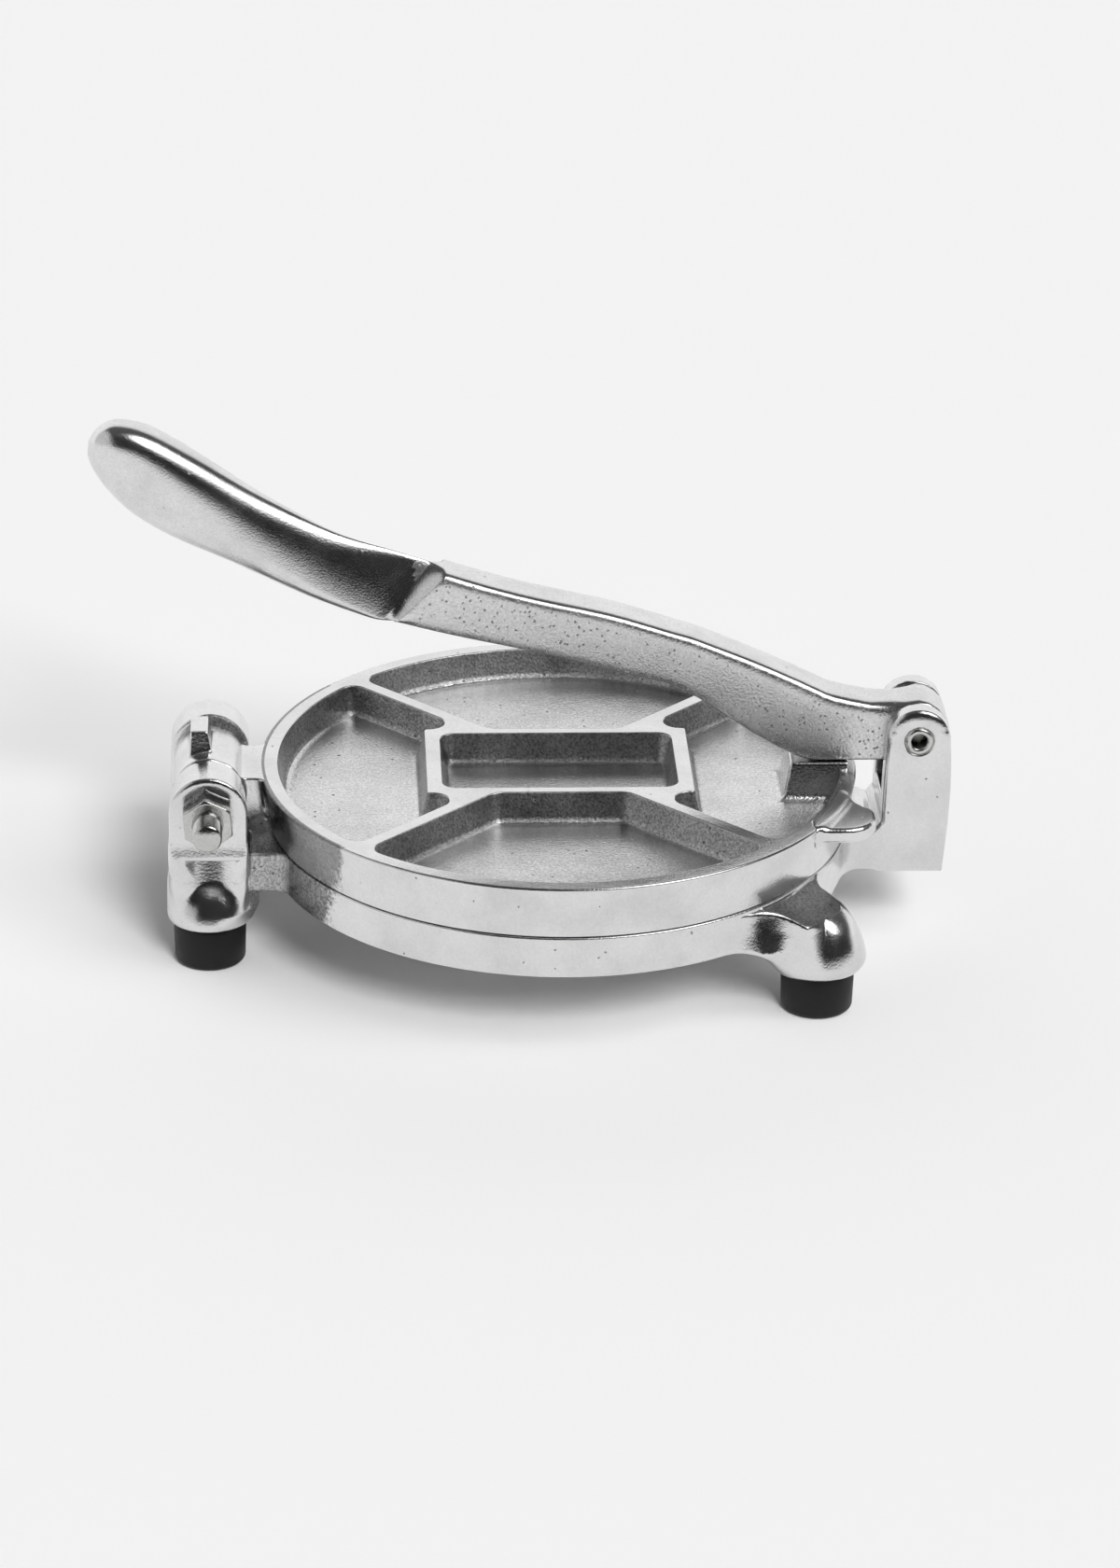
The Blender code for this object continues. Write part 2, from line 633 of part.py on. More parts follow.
def hinge_nut():
    face = -(ear_outer + FIT_GAP)
    body = prism("hinge_nut", hexagon(hinge_x, hinge_z, 30 + NUT_TURN), face - NUT_HEIGHT, face, "Y")
    combine(body, [hole("thread", hinge_x, hinge_z, bolt_hole_radius, -face + NUT_HEIGHT + OVERRUN)], "DIFFERENCE")
    return body


def lever_pin():
    """Hollow pin through the yoke and the lever's eye, its ends bevelled."""
    half = YOKE_WIDTH / 2 + PIN_PROUD
    outer = circle((pin_x, pin_z), PIN_DIAMETER / 2, SMALL_STEPS)
    body = prism("lever_pin", outer, -half, half, "Y", PIN_CHAMFER, 1)
    combine(body, [hole("bore", pin_x, pin_z, PIN_BORE / 2, half + OVERRUN)], "DIFFERENCE")
    return body


# Assembly

for old in list(bpy.data.objects):
    bpy.data.objects.remove(old)

press = bpy.data.objects.new("press", None)
bpy.context.scene.collection.objects.link(press)
left_end = pin_x - lever_reach
right_end = pin_x + max(YOKE_RADIUS, EYE_RADIUS)
press.location.x = -(left_end + right_end) / 2

hinge_axis = (hinge_x, 0, hinge_z)
pin_axis = (pin_x, 0, pin_z)
finish(base(), surface("cast_aluminium_base", (0.62, 0.62, 0.62), 1.0, 0.30), press, (0, 0, 0))
finish(top_plate(), surface("cast_aluminium_plate", (0.66, 0.66, 0.66), 1.0, 0.25), press, hinge_axis)
finish(lever(), surface("cast_aluminium_lever", (0.64, 0.64, 0.64), 1.0, 0.25), press, pin_axis)
finish(hinge_bolt(), surface("plated_steel_bolt", (0.56, 0.57, 0.58), 1.0, 0.30), press, hinge_axis)
finish(hinge_nut(), surface("plated_steel_nut", (0.56, 0.57, 0.58), 1.0, 0.30), press, hinge_axis)
finish(lever_pin(), surface("plated_steel_pin", (0.50, 0.50, 0.52), 1.0, 0.35), press, pin_axis)
for place, centre in leg_places().items():
    rubber = surface(f"black_rubber_{place}", (0.02, 0.02, 0.02), 0.0, 0.55)
    finish(foot(f"foot_{place}", centre), rubber, press, (*centre, 0))
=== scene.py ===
"""Tortilla press of cast aluminium, dressed for its photograph. Shapes here are drawn in millimetres about the press's
own frame: X from the hinge to the yoke, Y away from the viewer, Z up from the table."""
import math

import bmesh
import bpy
import numpy as np
from mathutils import Matrix, Vector
from mathutils.geometry import delaunay_2d_cdt


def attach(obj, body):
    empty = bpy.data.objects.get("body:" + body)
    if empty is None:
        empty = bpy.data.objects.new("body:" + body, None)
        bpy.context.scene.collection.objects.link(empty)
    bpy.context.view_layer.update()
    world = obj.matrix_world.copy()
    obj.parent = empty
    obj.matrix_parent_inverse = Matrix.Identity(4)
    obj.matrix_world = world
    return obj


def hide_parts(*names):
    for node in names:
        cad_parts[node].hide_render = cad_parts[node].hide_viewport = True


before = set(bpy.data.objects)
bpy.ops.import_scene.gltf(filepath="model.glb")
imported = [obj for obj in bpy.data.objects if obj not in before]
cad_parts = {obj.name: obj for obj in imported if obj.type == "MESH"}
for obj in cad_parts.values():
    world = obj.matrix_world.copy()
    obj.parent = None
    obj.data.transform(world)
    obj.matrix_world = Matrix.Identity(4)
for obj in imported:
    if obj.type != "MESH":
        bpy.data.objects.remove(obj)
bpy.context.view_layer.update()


# Studio: a pale table that fills the view, one large soft lamp high on the right of the front, pale walls behind and
# on the left, and a bright scrim overhead on the right. The rest of the room is dark, and polished metal mirrors it
# as dark bands.

def tone(text):
    """Linear colour of an sRGB hex value."""
    parts = [int(text[i:i + 2], 16) / 255 for i in (0, 2, 4)]
    return (*[p / 12.92 if p <= 0.04045 else ((p + 0.055) / 1.055) ** 2.4 for p in parts], 1)


def add(tree, kind, inputs, **settings):
    """A new node with its settings, and each input linked to a socket or set to a value."""
    made = tree.nodes.new(kind)
    for name, value in settings.items():
        setattr(made, name, value)
    for key, value in inputs.items():
        if isinstance(value, bpy.types.NodeSocket):
            tree.links.new(value, made.inputs[key])
        else:
            made.inputs[key].default_value = value
    return made


def ramp(tree, source, stops, smooth=False):
    """Grey steps over a value, as (place, grey) pairs."""
    made = add(tree, "ShaderNodeValToRGB", {0: source})
    made.color_ramp.interpolation = "EASE" if smooth else "LINEAR"
    while len(made.color_ramp.elements) < len(stops):
        made.color_ramp.elements.new(0.5)
    for element, (place, grey) in zip(made.color_ramp.elements, stops):
        element.position = place
        element.color = (grey, grey, grey, 1)
    return made.outputs[0]


aim, distance = Vector((0.01078, 0, 0.04259)), 1.5  # metres, to the point in the middle of the picture
looks_down, looks_right, leans = math.radians(24.77), math.radians(-2.93), math.radians(0.88)
sensor_height, focal_length, photo_rows = 24, 5787, 1680  # millimetres, then pixels of the photo
ahead = Vector((-math.sin(looks_right) * math.cos(looks_down), math.cos(looks_right) * math.cos(looks_down),
                -math.sin(looks_down)))
across = Vector((math.cos(looks_right), math.sin(looks_right), 0))
upward = across.cross(ahead)
facing = Matrix((math.cos(leans) * across + math.sin(leans) * upward,
                 math.cos(leans) * upward - math.sin(leans) * across, -ahead)).transposed().to_4x4()
camera = bpy.data.objects.new("camera", bpy.data.cameras.new("camera"))
bpy.context.collection.objects.link(camera)
camera.matrix_world = Matrix.Translation(aim - distance * ahead) @ facing
camera.data.sensor_fit = "VERTICAL"
camera.data.sensor_height = sensor_height
camera.data.lens = sensor_height * focal_length / photo_rows
bpy.context.scene.camera = camera
bpy.context.scene.view_settings.view_transform = "Standard"

lamp = bpy.data.objects.new("lamp", bpy.data.lights.new("lamp", "SUN"))
bpy.context.collection.objects.link(lamp)
lamp.data.energy = 2.24
lamp.data.angle = math.radians(20)
shines_along = Vector((-0.26, 0.74, -0.64))
lamp.rotation_euler = shines_along.to_track_quat("-Z", "Y").to_euler()
lamp.visible_glossy = False

room = bpy.data.worlds.new("room")
bpy.context.scene.world = room
room.use_nodes = True
tree = room.node_tree
tree.nodes.clear()
outlook = add(tree, "ShaderNodeTexCoord", {}).outputs["Generated"]
side = add(tree, "ShaderNodeSeparateXYZ", {0: outlook}).outputs

# From the foot of the back wall, over the ceiling and down to the front, as a share of half a turn.
overhead = add(tree, "ShaderNodeMath", {0: side[2], 1: side[1]}, operation="ARCTAN2").outputs[0]
turn = add(tree, "ShaderNodeMath", {0: overhead, 1: math.pi}, operation="DIVIDE").outputs[0]
back_wall = ramp(tree, turn, [(0, 1.0), (0.19, 1.0), (0.255, 0.10), (0.6, 0.08), (0.8, 0.03), (1, 0.02)], True)
leftward = add(tree, "ShaderNodeMath", {0: side[0], 1: -1.0}, operation="MULTIPLY").outputs[0]
left_wall = ramp(tree, leftward, [(0.45, 0), (0.68, 0.62)], True)
walls = add(tree, "ShaderNodeMath", {0: back_wall, 1: left_wall}, operation="MAXIMUM").outputs[0]

# The scrim is a round patch about its own direction, as cosines of the angle to that.
scrim_side, scrim_strength = Vector((0.52, -0.36, 0.79)).normalized(), 3.2
towards = add(tree, "ShaderNodeVectorMath", {0: outlook, 1: scrim_side}, operation="DOT_PRODUCT").outputs["Value"]
glow = ramp(tree, towards, [(0.90, 0), (0.972, 1)], True)
scrim = add(tree, "ShaderNodeMath", {0: glow, 1: scrim_strength}, operation="MULTIPLY").outputs[0]
lit_room = add(tree, "ShaderNodeMath", {0: walls, 1: scrim}, operation="ADD").outputs[0]
seen = add(tree, "ShaderNodeLightPath", {}).outputs["Is Camera Ray"]
paper = add(tree, "ShaderNodeMix", {0: seen, 6: lit_room, 7: tone("F1F1F1")}, data_type="RGBA").outputs[2]
air = add(tree, "ShaderNodeBackground", {0: paper})
add(tree, "ShaderNodeOutputWorld", {0: air.outputs[0]})

table_half = 4  # metres
table_mesh = bpy.data.meshes.new("table")
table_corners = [(x * table_half, y * table_half, 0) for x, y in ((-1, -1), (1, -1), (1, 1), (-1, 1))]
table_mesh.from_pydata(table_corners, [], [(0, 1, 2, 3)])
table = bpy.data.objects.new("table", table_mesh)
bpy.context.collection.objects.link(table)

# Matt paper card. It has no shine, so the eye finds only the press's shadow on it.
card = bpy.data.materials.new("pale_card")
card.use_nodes = True
finish = card.node_tree.nodes["Principled BSDF"].inputs
finish["Base Color"].default_value = tone("F1F1F1")
finish["Roughness"].default_value = 0.95
finish["Specular IOR Level"].default_value = 0.0
table_mesh.materials.append(card)


# Base: one aluminium sand casting, a round plate with pockets underneath, two hinge ears over two round legs, two toes
# and the yoke's arm. Its faces and lobes were ground and buffed, which leaves a satin shine with small pinholes.

middle = 10.15  # centre of the round plates
plate_edge = 80.3  # their radius where they meet
base_low, base_high = 22.9, 34.5
hinge_at = (-86.35, 46.3)  # axis of the hinge bolt as (x, z)
pin_at = (108.85, 61.0)  # axis of the lever pin
leg_low = 12.2
hinge_leg_at = (-86.35, 20.4)  # middle of a leg as (x, distance to the side)
toe_at = (78.97, 52.24)
hair = 0.04  # how far a form that runs into a plate stays inside the plate's own faces


def arc(centre, radius, start, end, steps):
    """Points of an arc in a plane, with its angles in degrees."""
    return [(centre[0] + radius * math.cos(math.radians(start + (end - start) * i / steps)),
             centre[1] + radius * math.sin(math.radians(start + (end - start) * i / steps))) for i in range(steps + 1)]


def pocket_outlines(rim_radius):
    """The five pockets of a casting, anticlockwise and about the plate's centre."""
    length, width, end_wall, side_wall, rib, fillet = 64.8, 35.8, 4.3, 3.5, 4.4, 4.0
    frame_corner, notch_radius, turn_radius = 1, 4.5, 6
    frame_x, frame_y = length / 2 + end_wall, width / 2 + side_wall

    def rim_corner(which):
        """The corner between a rib and the rim, and the bearing at which the rim takes over."""
        off = which * (rib / 2 + fillet)
        along = math.sqrt((rim_radius - fillet) ** 2 - off ** 2)
        centre = ((along - off) * math.sqrt(0.5), (along + off) * math.sqrt(0.5))
        bearing = math.degrees(math.atan2(centre[1], centre[0]))
        return arc(centre, fillet, 45 - which * 90, bearing, 8), bearing

    corner, bearing = rim_corner(-1)
    notch = (frame_y + notch_radius + math.sqrt(2) * (rib / 2 + notch_radius), frame_y + notch_radius)
    half = [*arc((frame_x - frame_corner, frame_y - frame_corner), frame_corner, 0, 90, 5),
            *arc(notch, notch_radius, -90, -225, 14), *corner]
    right = half + arc((0, 0), rim_radius, bearing, -bearing, 48)[1:-1] + [(x, -y) for x, y in reversed(half)]
    corner, bearing = rim_corner(1)
    turn_y = frame_y + turn_radius
    turn_x = turn_y - math.sqrt(2) * (rib / 2 + turn_radius)
    half = [*arc((turn_x, turn_y), turn_radius, -90, -45, 6), *corner]
    rear = half + arc((0, 0), rim_radius, bearing, 180 - bearing, 48)[1:-1] + [(-x, y) for x, y in reversed(half)]
    x, y = length / 2 - fillet, width / 2 - fillet
    box = [*arc((x, y), fillet, 0, 90, 8), *arc((-x, y), fillet, 90, 180, 8), *arc((-x, -y), fillet, 180, 270, 8),
           *arc((x, -y), fillet, 270, 360, 8)]
    five = [box, right, [(-x, y) for x, y in right], rear, [(x, -y) for x, y in rear]]
    for index, outline in enumerate(five):
        area = sum(a[0] * b[1] - a[1] * b[0] for a, b in zip(outline, outline[1:] + outline[:1]))
        if area < 0:
            five[index] = outline[::-1]
    return five


def inset(outline, distance):
    """An anticlockwise outline moved inwards, with its corners mitred."""
    points = np.array(outline)
    ahead_of = np.roll(points, -1, 0) - points
    ahead_of /= np.linalg.norm(ahead_of, axis=1)[:, None]
    normal = np.stack([-ahead_of[:, 1], ahead_of[:, 0]], 1)
    before = np.roll(normal, 1, 0)
    mitre = (normal + before) / (1 + (normal * before).sum(1))[:, None]
    return points + mitre * distance


def pocket_wall(depth, edge, draft, fillet):
    """Steps of a pocket's wall as (distance from its outline, height from the face), from the face to the floor: five
    on the rounded edge and nine on the fillet, each with one more on the flat next to it."""
    lean = math.radians(draft)
    steps = [(-edge - 0.2, 0)] + [(-edge + edge * math.sin(t), edge * math.cos(t) - edge)
                                  for t in np.linspace(0, math.pi / 2, 5)]
    centre = (fillet + (depth - fillet - edge) * math.sin(lean)) / math.cos(lean)
    steps += [(centre + fillet * math.cos(t), fillet - depth + fillet * math.sin(t))
              for t in np.linspace(math.pi + lean, 1.5 * math.pi, 9)]
    return steps + [(centre + 0.15, -depth)]


def pocketed_plate(name, outlines, wall, rings, up):
    """A round plate with pockets in one face. Rings are (radius, height) from the pocketed face to the plain one, and
    up is the way that the pocketed face looks. Its materials are those of faces, floors, walls and side."""
    around = 256
    face, floor, steep, side = range(4)
    last_of_edge, last_of_wall = 2, 9  # among the steps of a pocket's wall
    points, faces, kinds = [], [], []
    face_height = rings[0][1]

    def row(places, height):
        """New points at one height, and their numbers."""
        first = len(points)
        points.extend((x + middle, y, height) for x, y in places)
        return list(range(first, len(points)))

    def band(near, further, kind):
        """Faces between two rows with as many points."""
        for i in range(len(near)):
            j = (i + 1) % len(near)
            faces.append((near[i], near[j], further[j], further[i]))
            kinds.append(kind)

    def fill(rows, kind):
        """A flat face between loops of points, the first round the others."""
        flat = [index for loop in rows for index in loop]
        edges, start = [], 0
        for loop in rows:
            edges += [(start + i, start + (i + 1) % len(loop)) for i in range(len(loop))]
            start += len(loop)
        made = delaunay_2d_cdt([Vector(points[i][:2]) for i in flat], edges, [], 2, 1e-6)
        spots = [Vector(p) for p in made[0]]
        holes = [[points[i][:2] for i in loop] for loop in rows[1:]]
        for corners in made[2]:
            spot = sum((spots[i] for i in corners), Vector((0, 0))) / len(corners)
            if not any(within(spot, hole) for hole in holes):
                faces.append([flat[made[3][i][0]] for i in corners])
                kinds.append(kind)

    def within(spot, loop):
        """Whether a loop of points goes round a spot."""
        crossings = 0
        for (ax, ay), (bx, by) in zip(loop, loop[1:] + loop[:1]):
            if (ay > spot.y) != (by > spot.y) and spot.x < ax + (spot.y - ay) / (by - ay) * (bx - ax):
                crossings += 1
        return crossings % 2 == 1

    circles = [row(arc((0, 0), radius, 0, 360, around)[:-1], height) for radius, height in rings]
    for near, further in zip(circles, circles[1:]):
        band(near, further, side)
    fill([circles[-1]], face)
    brinks = []
    for outline in outlines:
        rows = [row(inset(outline, distance), face_height + up * height) for distance, height in wall]
        brinks.append(rows[0])
        for step, (near, further) in enumerate(zip(rows, rows[1:])):
            band(near, further, face if step <= last_of_edge else steep if step <= last_of_wall else floor)
        fill([rows[-1]], floor)
    fill([circles[0], *brinks], face)
    mesh = bpy.data.meshes.new(name)
    mesh.from_pydata([[c * 0.001 for c in p] for p in points], [], faces)
    mesh.polygons.foreach_set("material_index", kinds)
    return closed(mesh)


def closed(mesh):
    """Turns every face of a closed mesh outwards."""
    bm = bmesh.new()
    bm.from_mesh(mesh)
    bmesh.ops.recalc_face_normals(bm, faces=bm.faces)
    bm.to_mesh(mesh)
    bm.free()
    return mesh


def skin(name, field, low, high, cell):
    """Closed mesh of the surface where a distance field in millimetres is zero. Each cell of a grid that the surface
    crosses gets a point at the mean of its crossings, and the points are then drawn onto the surface."""
    counts = [int((b - a) / cell) + 2 for a, b in zip(low, high)]
    lines = [a + cell * np.arange(n) for a, n in zip(low, counts)]
    y, z = np.meshgrid(lines[1], lines[2], indexing="ij")
    values = np.stack([field(np.full_like(y, x), y, z) for x in lines[0]])
    cells = [n - 1 for n in counts]
    places, hits = np.zeros((*cells, 3)), np.zeros(cells)
    crossings = []
    for axis in range(3):
        one, two = [n for n in range(3) if n != axis]
        near = np.moveaxis(values, axis, 0)[:-1]
        further = np.moveaxis(values, axis, 0)[1:]
        crossed = (near < 0) != (further < 0)
        share = np.where(crossed, near / np.where(crossed, near - further, 1), 0)
        crossings.append((axis, one, two, crossed, near < 0))
        total, count = np.moveaxis(places, axis, 0), np.moveaxis(hits, axis, 0)
        for p in (0, 1):
            for q in (0, 1):
                window = (slice(None), slice(p, p + cells[one]), slice(q, q + cells[two]))
                there = crossed[window]
                count += there
                total[..., axis] += share[window]
                total[..., one] += there * p
                total[..., two] += there * q
    used = hits > 0
    index = np.full(cells, -1)
    index[used] = np.arange(used.sum())
    spots = np.array(low) + cell * (np.argwhere(used) + places[used] / hits[used][:, None])
    faces = []
    for axis, one, two, crossed, inner in crossings:
        ids = np.moveaxis(index, axis, 0)
        inside = (slice(None), slice(1, cells[one]), slice(1, cells[two]))
        ring = [ids[:, p:cells[one] - 1 + p, q:cells[two] - 1 + q] for p, q in ((0, 0), (1, 0), (1, 1), (0, 1))]
        quads = np.stack(ring, -1)[crossed[inside]]
        flip = inner[inside][crossed[inside]] == (axis == 1)
        quads[flip] = quads[flip][:, ::-1]
        faces.append(quads)
    for _ in range(3):
        value = field(*spots.T)
        slope = np.stack([field(*(spots + step).T) - value for step in np.eye(3) * 0.01], 1) / 0.01
        move = slope * (value / np.maximum((slope ** 2).sum(1), 0.2))[:, None]
        spots -= np.clip(move, -cell / 2, cell / 2)
    mesh = bpy.data.meshes.new(name)
    mesh.from_pydata(spots * 0.001, [], np.concatenate(faces))
    return mesh


def blend(a, b, reach):
    """Union of two fields with a fillet."""
    h = np.clip(0.5 + 0.5 * (b - a) / reach, 0, 1)
    return b * (1 - h) + a * h - reach * h * (1 - h)


def trim(a, b, reach):
    """Part of a that is inside b too, with a rounded edge."""
    return -blend(-a, -b, reach)


def drawn_out(flat, along, half, edge):
    """A flat shape's field drawn out to both sides, with its edges rounded."""
    p, q = flat + edge, np.abs(along) - half + edge
    return np.minimum(np.maximum(p, q), 0) + np.hypot(np.maximum(p, 0), np.maximum(q, 0)) - edge


def block(x, y, z, low, high, edge):
    """A box with rounded edges."""
    gaps = [np.abs(v - (a + b) / 2) - (b - a) / 2 + edge for v, a, b in zip((x, y, z), low, high)]
    outside = np.sqrt(sum(np.maximum(g, 0) ** 2 for g in gaps))
    return outside + np.minimum(np.maximum(gaps[0], np.maximum(gaps[1], gaps[2])), 0) - edge


def shape(u, v, outline):
    """Distance to an outline of (u, v) corners, negative inside it."""
    nearest, sign = np.full(u.shape, 1e9), np.ones(u.shape)
    for (au, av), (bu, bv) in zip(outline, outline[1:] + outline[:1]):
        eu, ev = bu - au, bv - av
        share = np.clip(((u - au) * eu + (v - av) * ev) / (eu * eu + ev * ev), 0, 1)
        nearest = np.minimum(nearest, np.hypot(u - au - share * eu, v - av - share * ev))
        if av != bv:
            sign = np.where(((av > v) != (bv > v)) & (u < au + (v - av) / (bv - av) * eu), -sign, sign)
    return nearest * sign


def smoothed(rows, steps):
    """The rows with others between them, on a curve that passes through them all."""
    fuller = []
    last = len(rows) - 1
    for index in range(last):
        near = [rows[max(index - 1, 0)], rows[index], rows[index + 1], rows[min(index + 2, last)]]
        for step in range(steps):
            t = step / steps
            weights = (-t + 2 * t**2 - t**3, 2 - 5 * t**2 + 3 * t**3, t + 4 * t**2 - 3 * t**3, t**3 - t**2)
            fuller.append([sum(w * value for w, value in zip(weights, values)) / 2 for values in zip(*near)])
    return fuller + [rows[last]]


def base_disc(x, y, z):
    """The round plate, a hair inside the one that shows."""
    half = (base_high - base_low) / 2 - hair
    return drawn_out(np.hypot(x - middle, y) - plate_edge + hair, z - (base_low + base_high) / 2, half, 0.8)


def peg(out, z):
    """Peg under a leg, for a rubber foot, from the distance to the leg's middle."""
    return drawn_out(out - 6, z - 8, 5.5, 0.4)


def hinge_end(x, y, z):
    """Shelf, ears and legs at the hinge."""
    hinge_x, hinge_z = hinge_at
    leg_x, leg_y = hinge_leg_at
    leg_radius, slab_radius, ear_radius, ear_middle, ear_half = 11.8, 10.9, 10.8, 19.8, 7.5
    near = np.abs(y)
    shelf = block(x, y, z, (hinge_x - 7, -26.5, base_low), (-60, 26.5, base_high - hair), 0.8)
    plate = np.maximum(base_disc(x, y, z), x + 58)
    body = blend(shelf, plate, 4.0)
    body = np.maximum(np.maximum(body, z - base_high + hair), base_low + hair - z)

    # Each leg is round and leans inwards as it rises, and it is fuller on the side of the plate.
    round_leg = np.hypot(x - leg_x, near - leg_y)
    rise = np.clip(z - 14, 0, 13)
    bulge = np.clip(x - leg_x, 0, 1.8 * np.clip((z - 13) / 4, 0, 1))
    bulb = np.hypot(x - leg_x - bulge, near - leg_y + 0.12 * rise + 0.034 * rise ** 2) - leg_radius

    # A slab joins leg and ear. It ends in a sloping ledge, and the wheel has hollowed it over the leg.
    slab = drawn_out(np.hypot(x - hinge_x, z - np.clip(z, 24.5, 60)) - slab_radius, near - 20.2, 8.3, 1.4)
    slab = trim(slab, (near - 28.5) * 0.94 + (z - 33.2) * 0.342, 1.0)
    slab = trim(slab, (bulb - 0.1 - 0.5 * np.clip(z - 18, 0, 20)) / 1.1, 2.0)
    slab = np.maximum(np.maximum(slab, z - 37.2), np.minimum(20.4 - near, base_low - z))
    bulb = trim(drawn_out(bulb, z - 12, 16.5, 7.5), leg_low - z, 2.6)
    scoop = np.hypot(x - hinge_x - 1.0, (near - 26.3 + (z - 25) * 0.26) * 0.97 - 9.6) - 9.6
    scoop = np.maximum(scoop, z - 32.7)

    # The front ear is slimmer towards the knuckle and rounder at its crown. The rear one is rounded outside and coned
    # on its inner face.
    upright = np.hypot(x - hinge_x, z - np.clip(z, 30, hinge_z))
    crown = 1 - 0.5 * np.clip((z - 44) / 6, 0, 1)
    slimmer = 0.06 * np.clip(ear_middle + ear_half - near, 0, 2 * ear_half)
    front_ear = drawn_out((upright - ear_radius + slimmer) * crown, y + ear_middle, ear_half, 0.9)
    taller = np.hypot(x - hinge_x, z - np.clip(z, 30, hinge_z + 1.3))
    rear_ear = drawn_out(taller - ear_radius, y - ear_middle, ear_half, np.where(y > ear_middle, 4.4, 0.6))
    cone_start = 9.2 + 1.8 * np.clip((hinge_x - 1 - x) / 3, 0, 1)
    rear_ear = trim(rear_ear, (ear_middle - ear_half - y) * 0.94 + (taller - cone_start) * 0.342, 0.5)
    ears = np.minimum(front_ear, rear_ear)
    upper = trim(blend(blend(body, slab, 1.2), ears, 1.0), -scoop, 1.2)
    return np.minimum(blend(upper, bulb, 1.6), peg(round_leg, z))


def yoke_end(x, y, z):
    """Arm, yoke and toes at the other end."""
    toe_x, toe_y = toe_at
    arm_half, fork_half, slot_half, slot_low, bore_radius = 13.4, 13.65, 7.6, 42.3, 3.95
    near = np.abs(y)
    plate = np.maximum(base_disc(x, y, z), 62 - x)
    arm = block(x, y, z, (60, -arm_half, base_low), (95, arm_half, base_high - hair), 0.9)
    body = blend(plate, arm, 10.0)
    body = np.maximum(np.maximum(body, z - base_high + hair), base_low + hair - z)

    # Each toe is a leg that narrows as it rises, less so on its left, and runs into the plate. Its top slopes down
    # to its tip. Rows are (radius on the right, radius on the left, height).
    round_toe, out = np.hypot(x - toe_x, near - toe_y), np.hypot(x - middle, y)
    tip_rows = [(10.8, 10.8, 12.2), (12.0, 12.0, 13.0), (12.8, 12.8, 14.2), (13.1, 13.1, 15.7), (12.8, 13.2, 17.5),
                (12.1, 13.2, 20), (11.1, 13.2, 22.5), (9.9, 13.1, 25), (8.8, 12.9, 27), (7.5, 12.7, 29.2),
                (5.9, 12.4, 31.5), (4.0, 12.0, 35)]
    right_radii, left_radii, heights = np.array(smoothed(tip_rows, 4)).T
    left = np.clip(0.5 + (toe_x - 1.8 - x) / 5, 0, 1)
    radius = np.interp(z, heights, right_radii) * (1 - left) + np.interp(z, heights, left_radii) * left
    aside = near * 0.7965 - (x - middle) * 0.6046  # distance from the line through the plate's middle and the toe
    wider_below = np.clip((aside - 13) / 6, 0, 1) * np.clip(30 - z, -4, 8)
    spread = 8 + 4 * np.clip(aside / 12 + 0.5, 0, 1) + 6 * np.clip((aside - 13) / 8, 0, 1) + 0.8 * wider_below
    toe = blend(round_toe - radius, out - plate_edge + hair, spread)
    toe = trim(toe, blend(base_low + hair - z, (round_toe - 11.8 - (z - leg_low) * 0.9) / 1.345, 6.0), 1.0)
    slope = (x - 60) * 0.2407 - (-near + 63) * 0.2788 + (z - 33.3) * 0.9294
    toe = trim(trim(toe, z - base_high + hair, 0.8), slope, 0.45 + 2.5 * np.clip((x - 76) / 8, 0, 1))
    toe = np.maximum(np.maximum(toe, leg_low - z), np.maximum(44 - x, np.minimum(62 - x, 77 - out)))
    body = blend(body, toe, 0.6)

    # The fork is the outline of the yoke, drawn out, with a slot for the lever and a bore for its pin.
    fork_outline = [*arc(pin_at, 8.8, 180, 0, 24), (118.05, 52.6), (118.15, 46.7), (117.8, 36.2), (116.7, 21.3),
                    (99.2, 21.3), (94, 23.1), (87, 23.1), (87, 34.2), (97.6, 34.4), (99.3, 36.6), (99.55, 46.7),
                    (99.7, 52.6)]
    crown = np.clip((z - 58) / 6, 0, 1)
    fork = drawn_out(shape(x, z, fork_outline) * (1 - 0.62 * crown), y, fork_half, 0.9 + 0.6 * crown)
    fork = np.maximum(fork, np.minimum(slot_half - near, z - slot_low))
    bore = bore_radius - np.hypot(x - pin_at[0], z - pin_at[1])
    return np.maximum(np.minimum(blend(body, fork, 2.4), peg(round_toe, z)), bore)


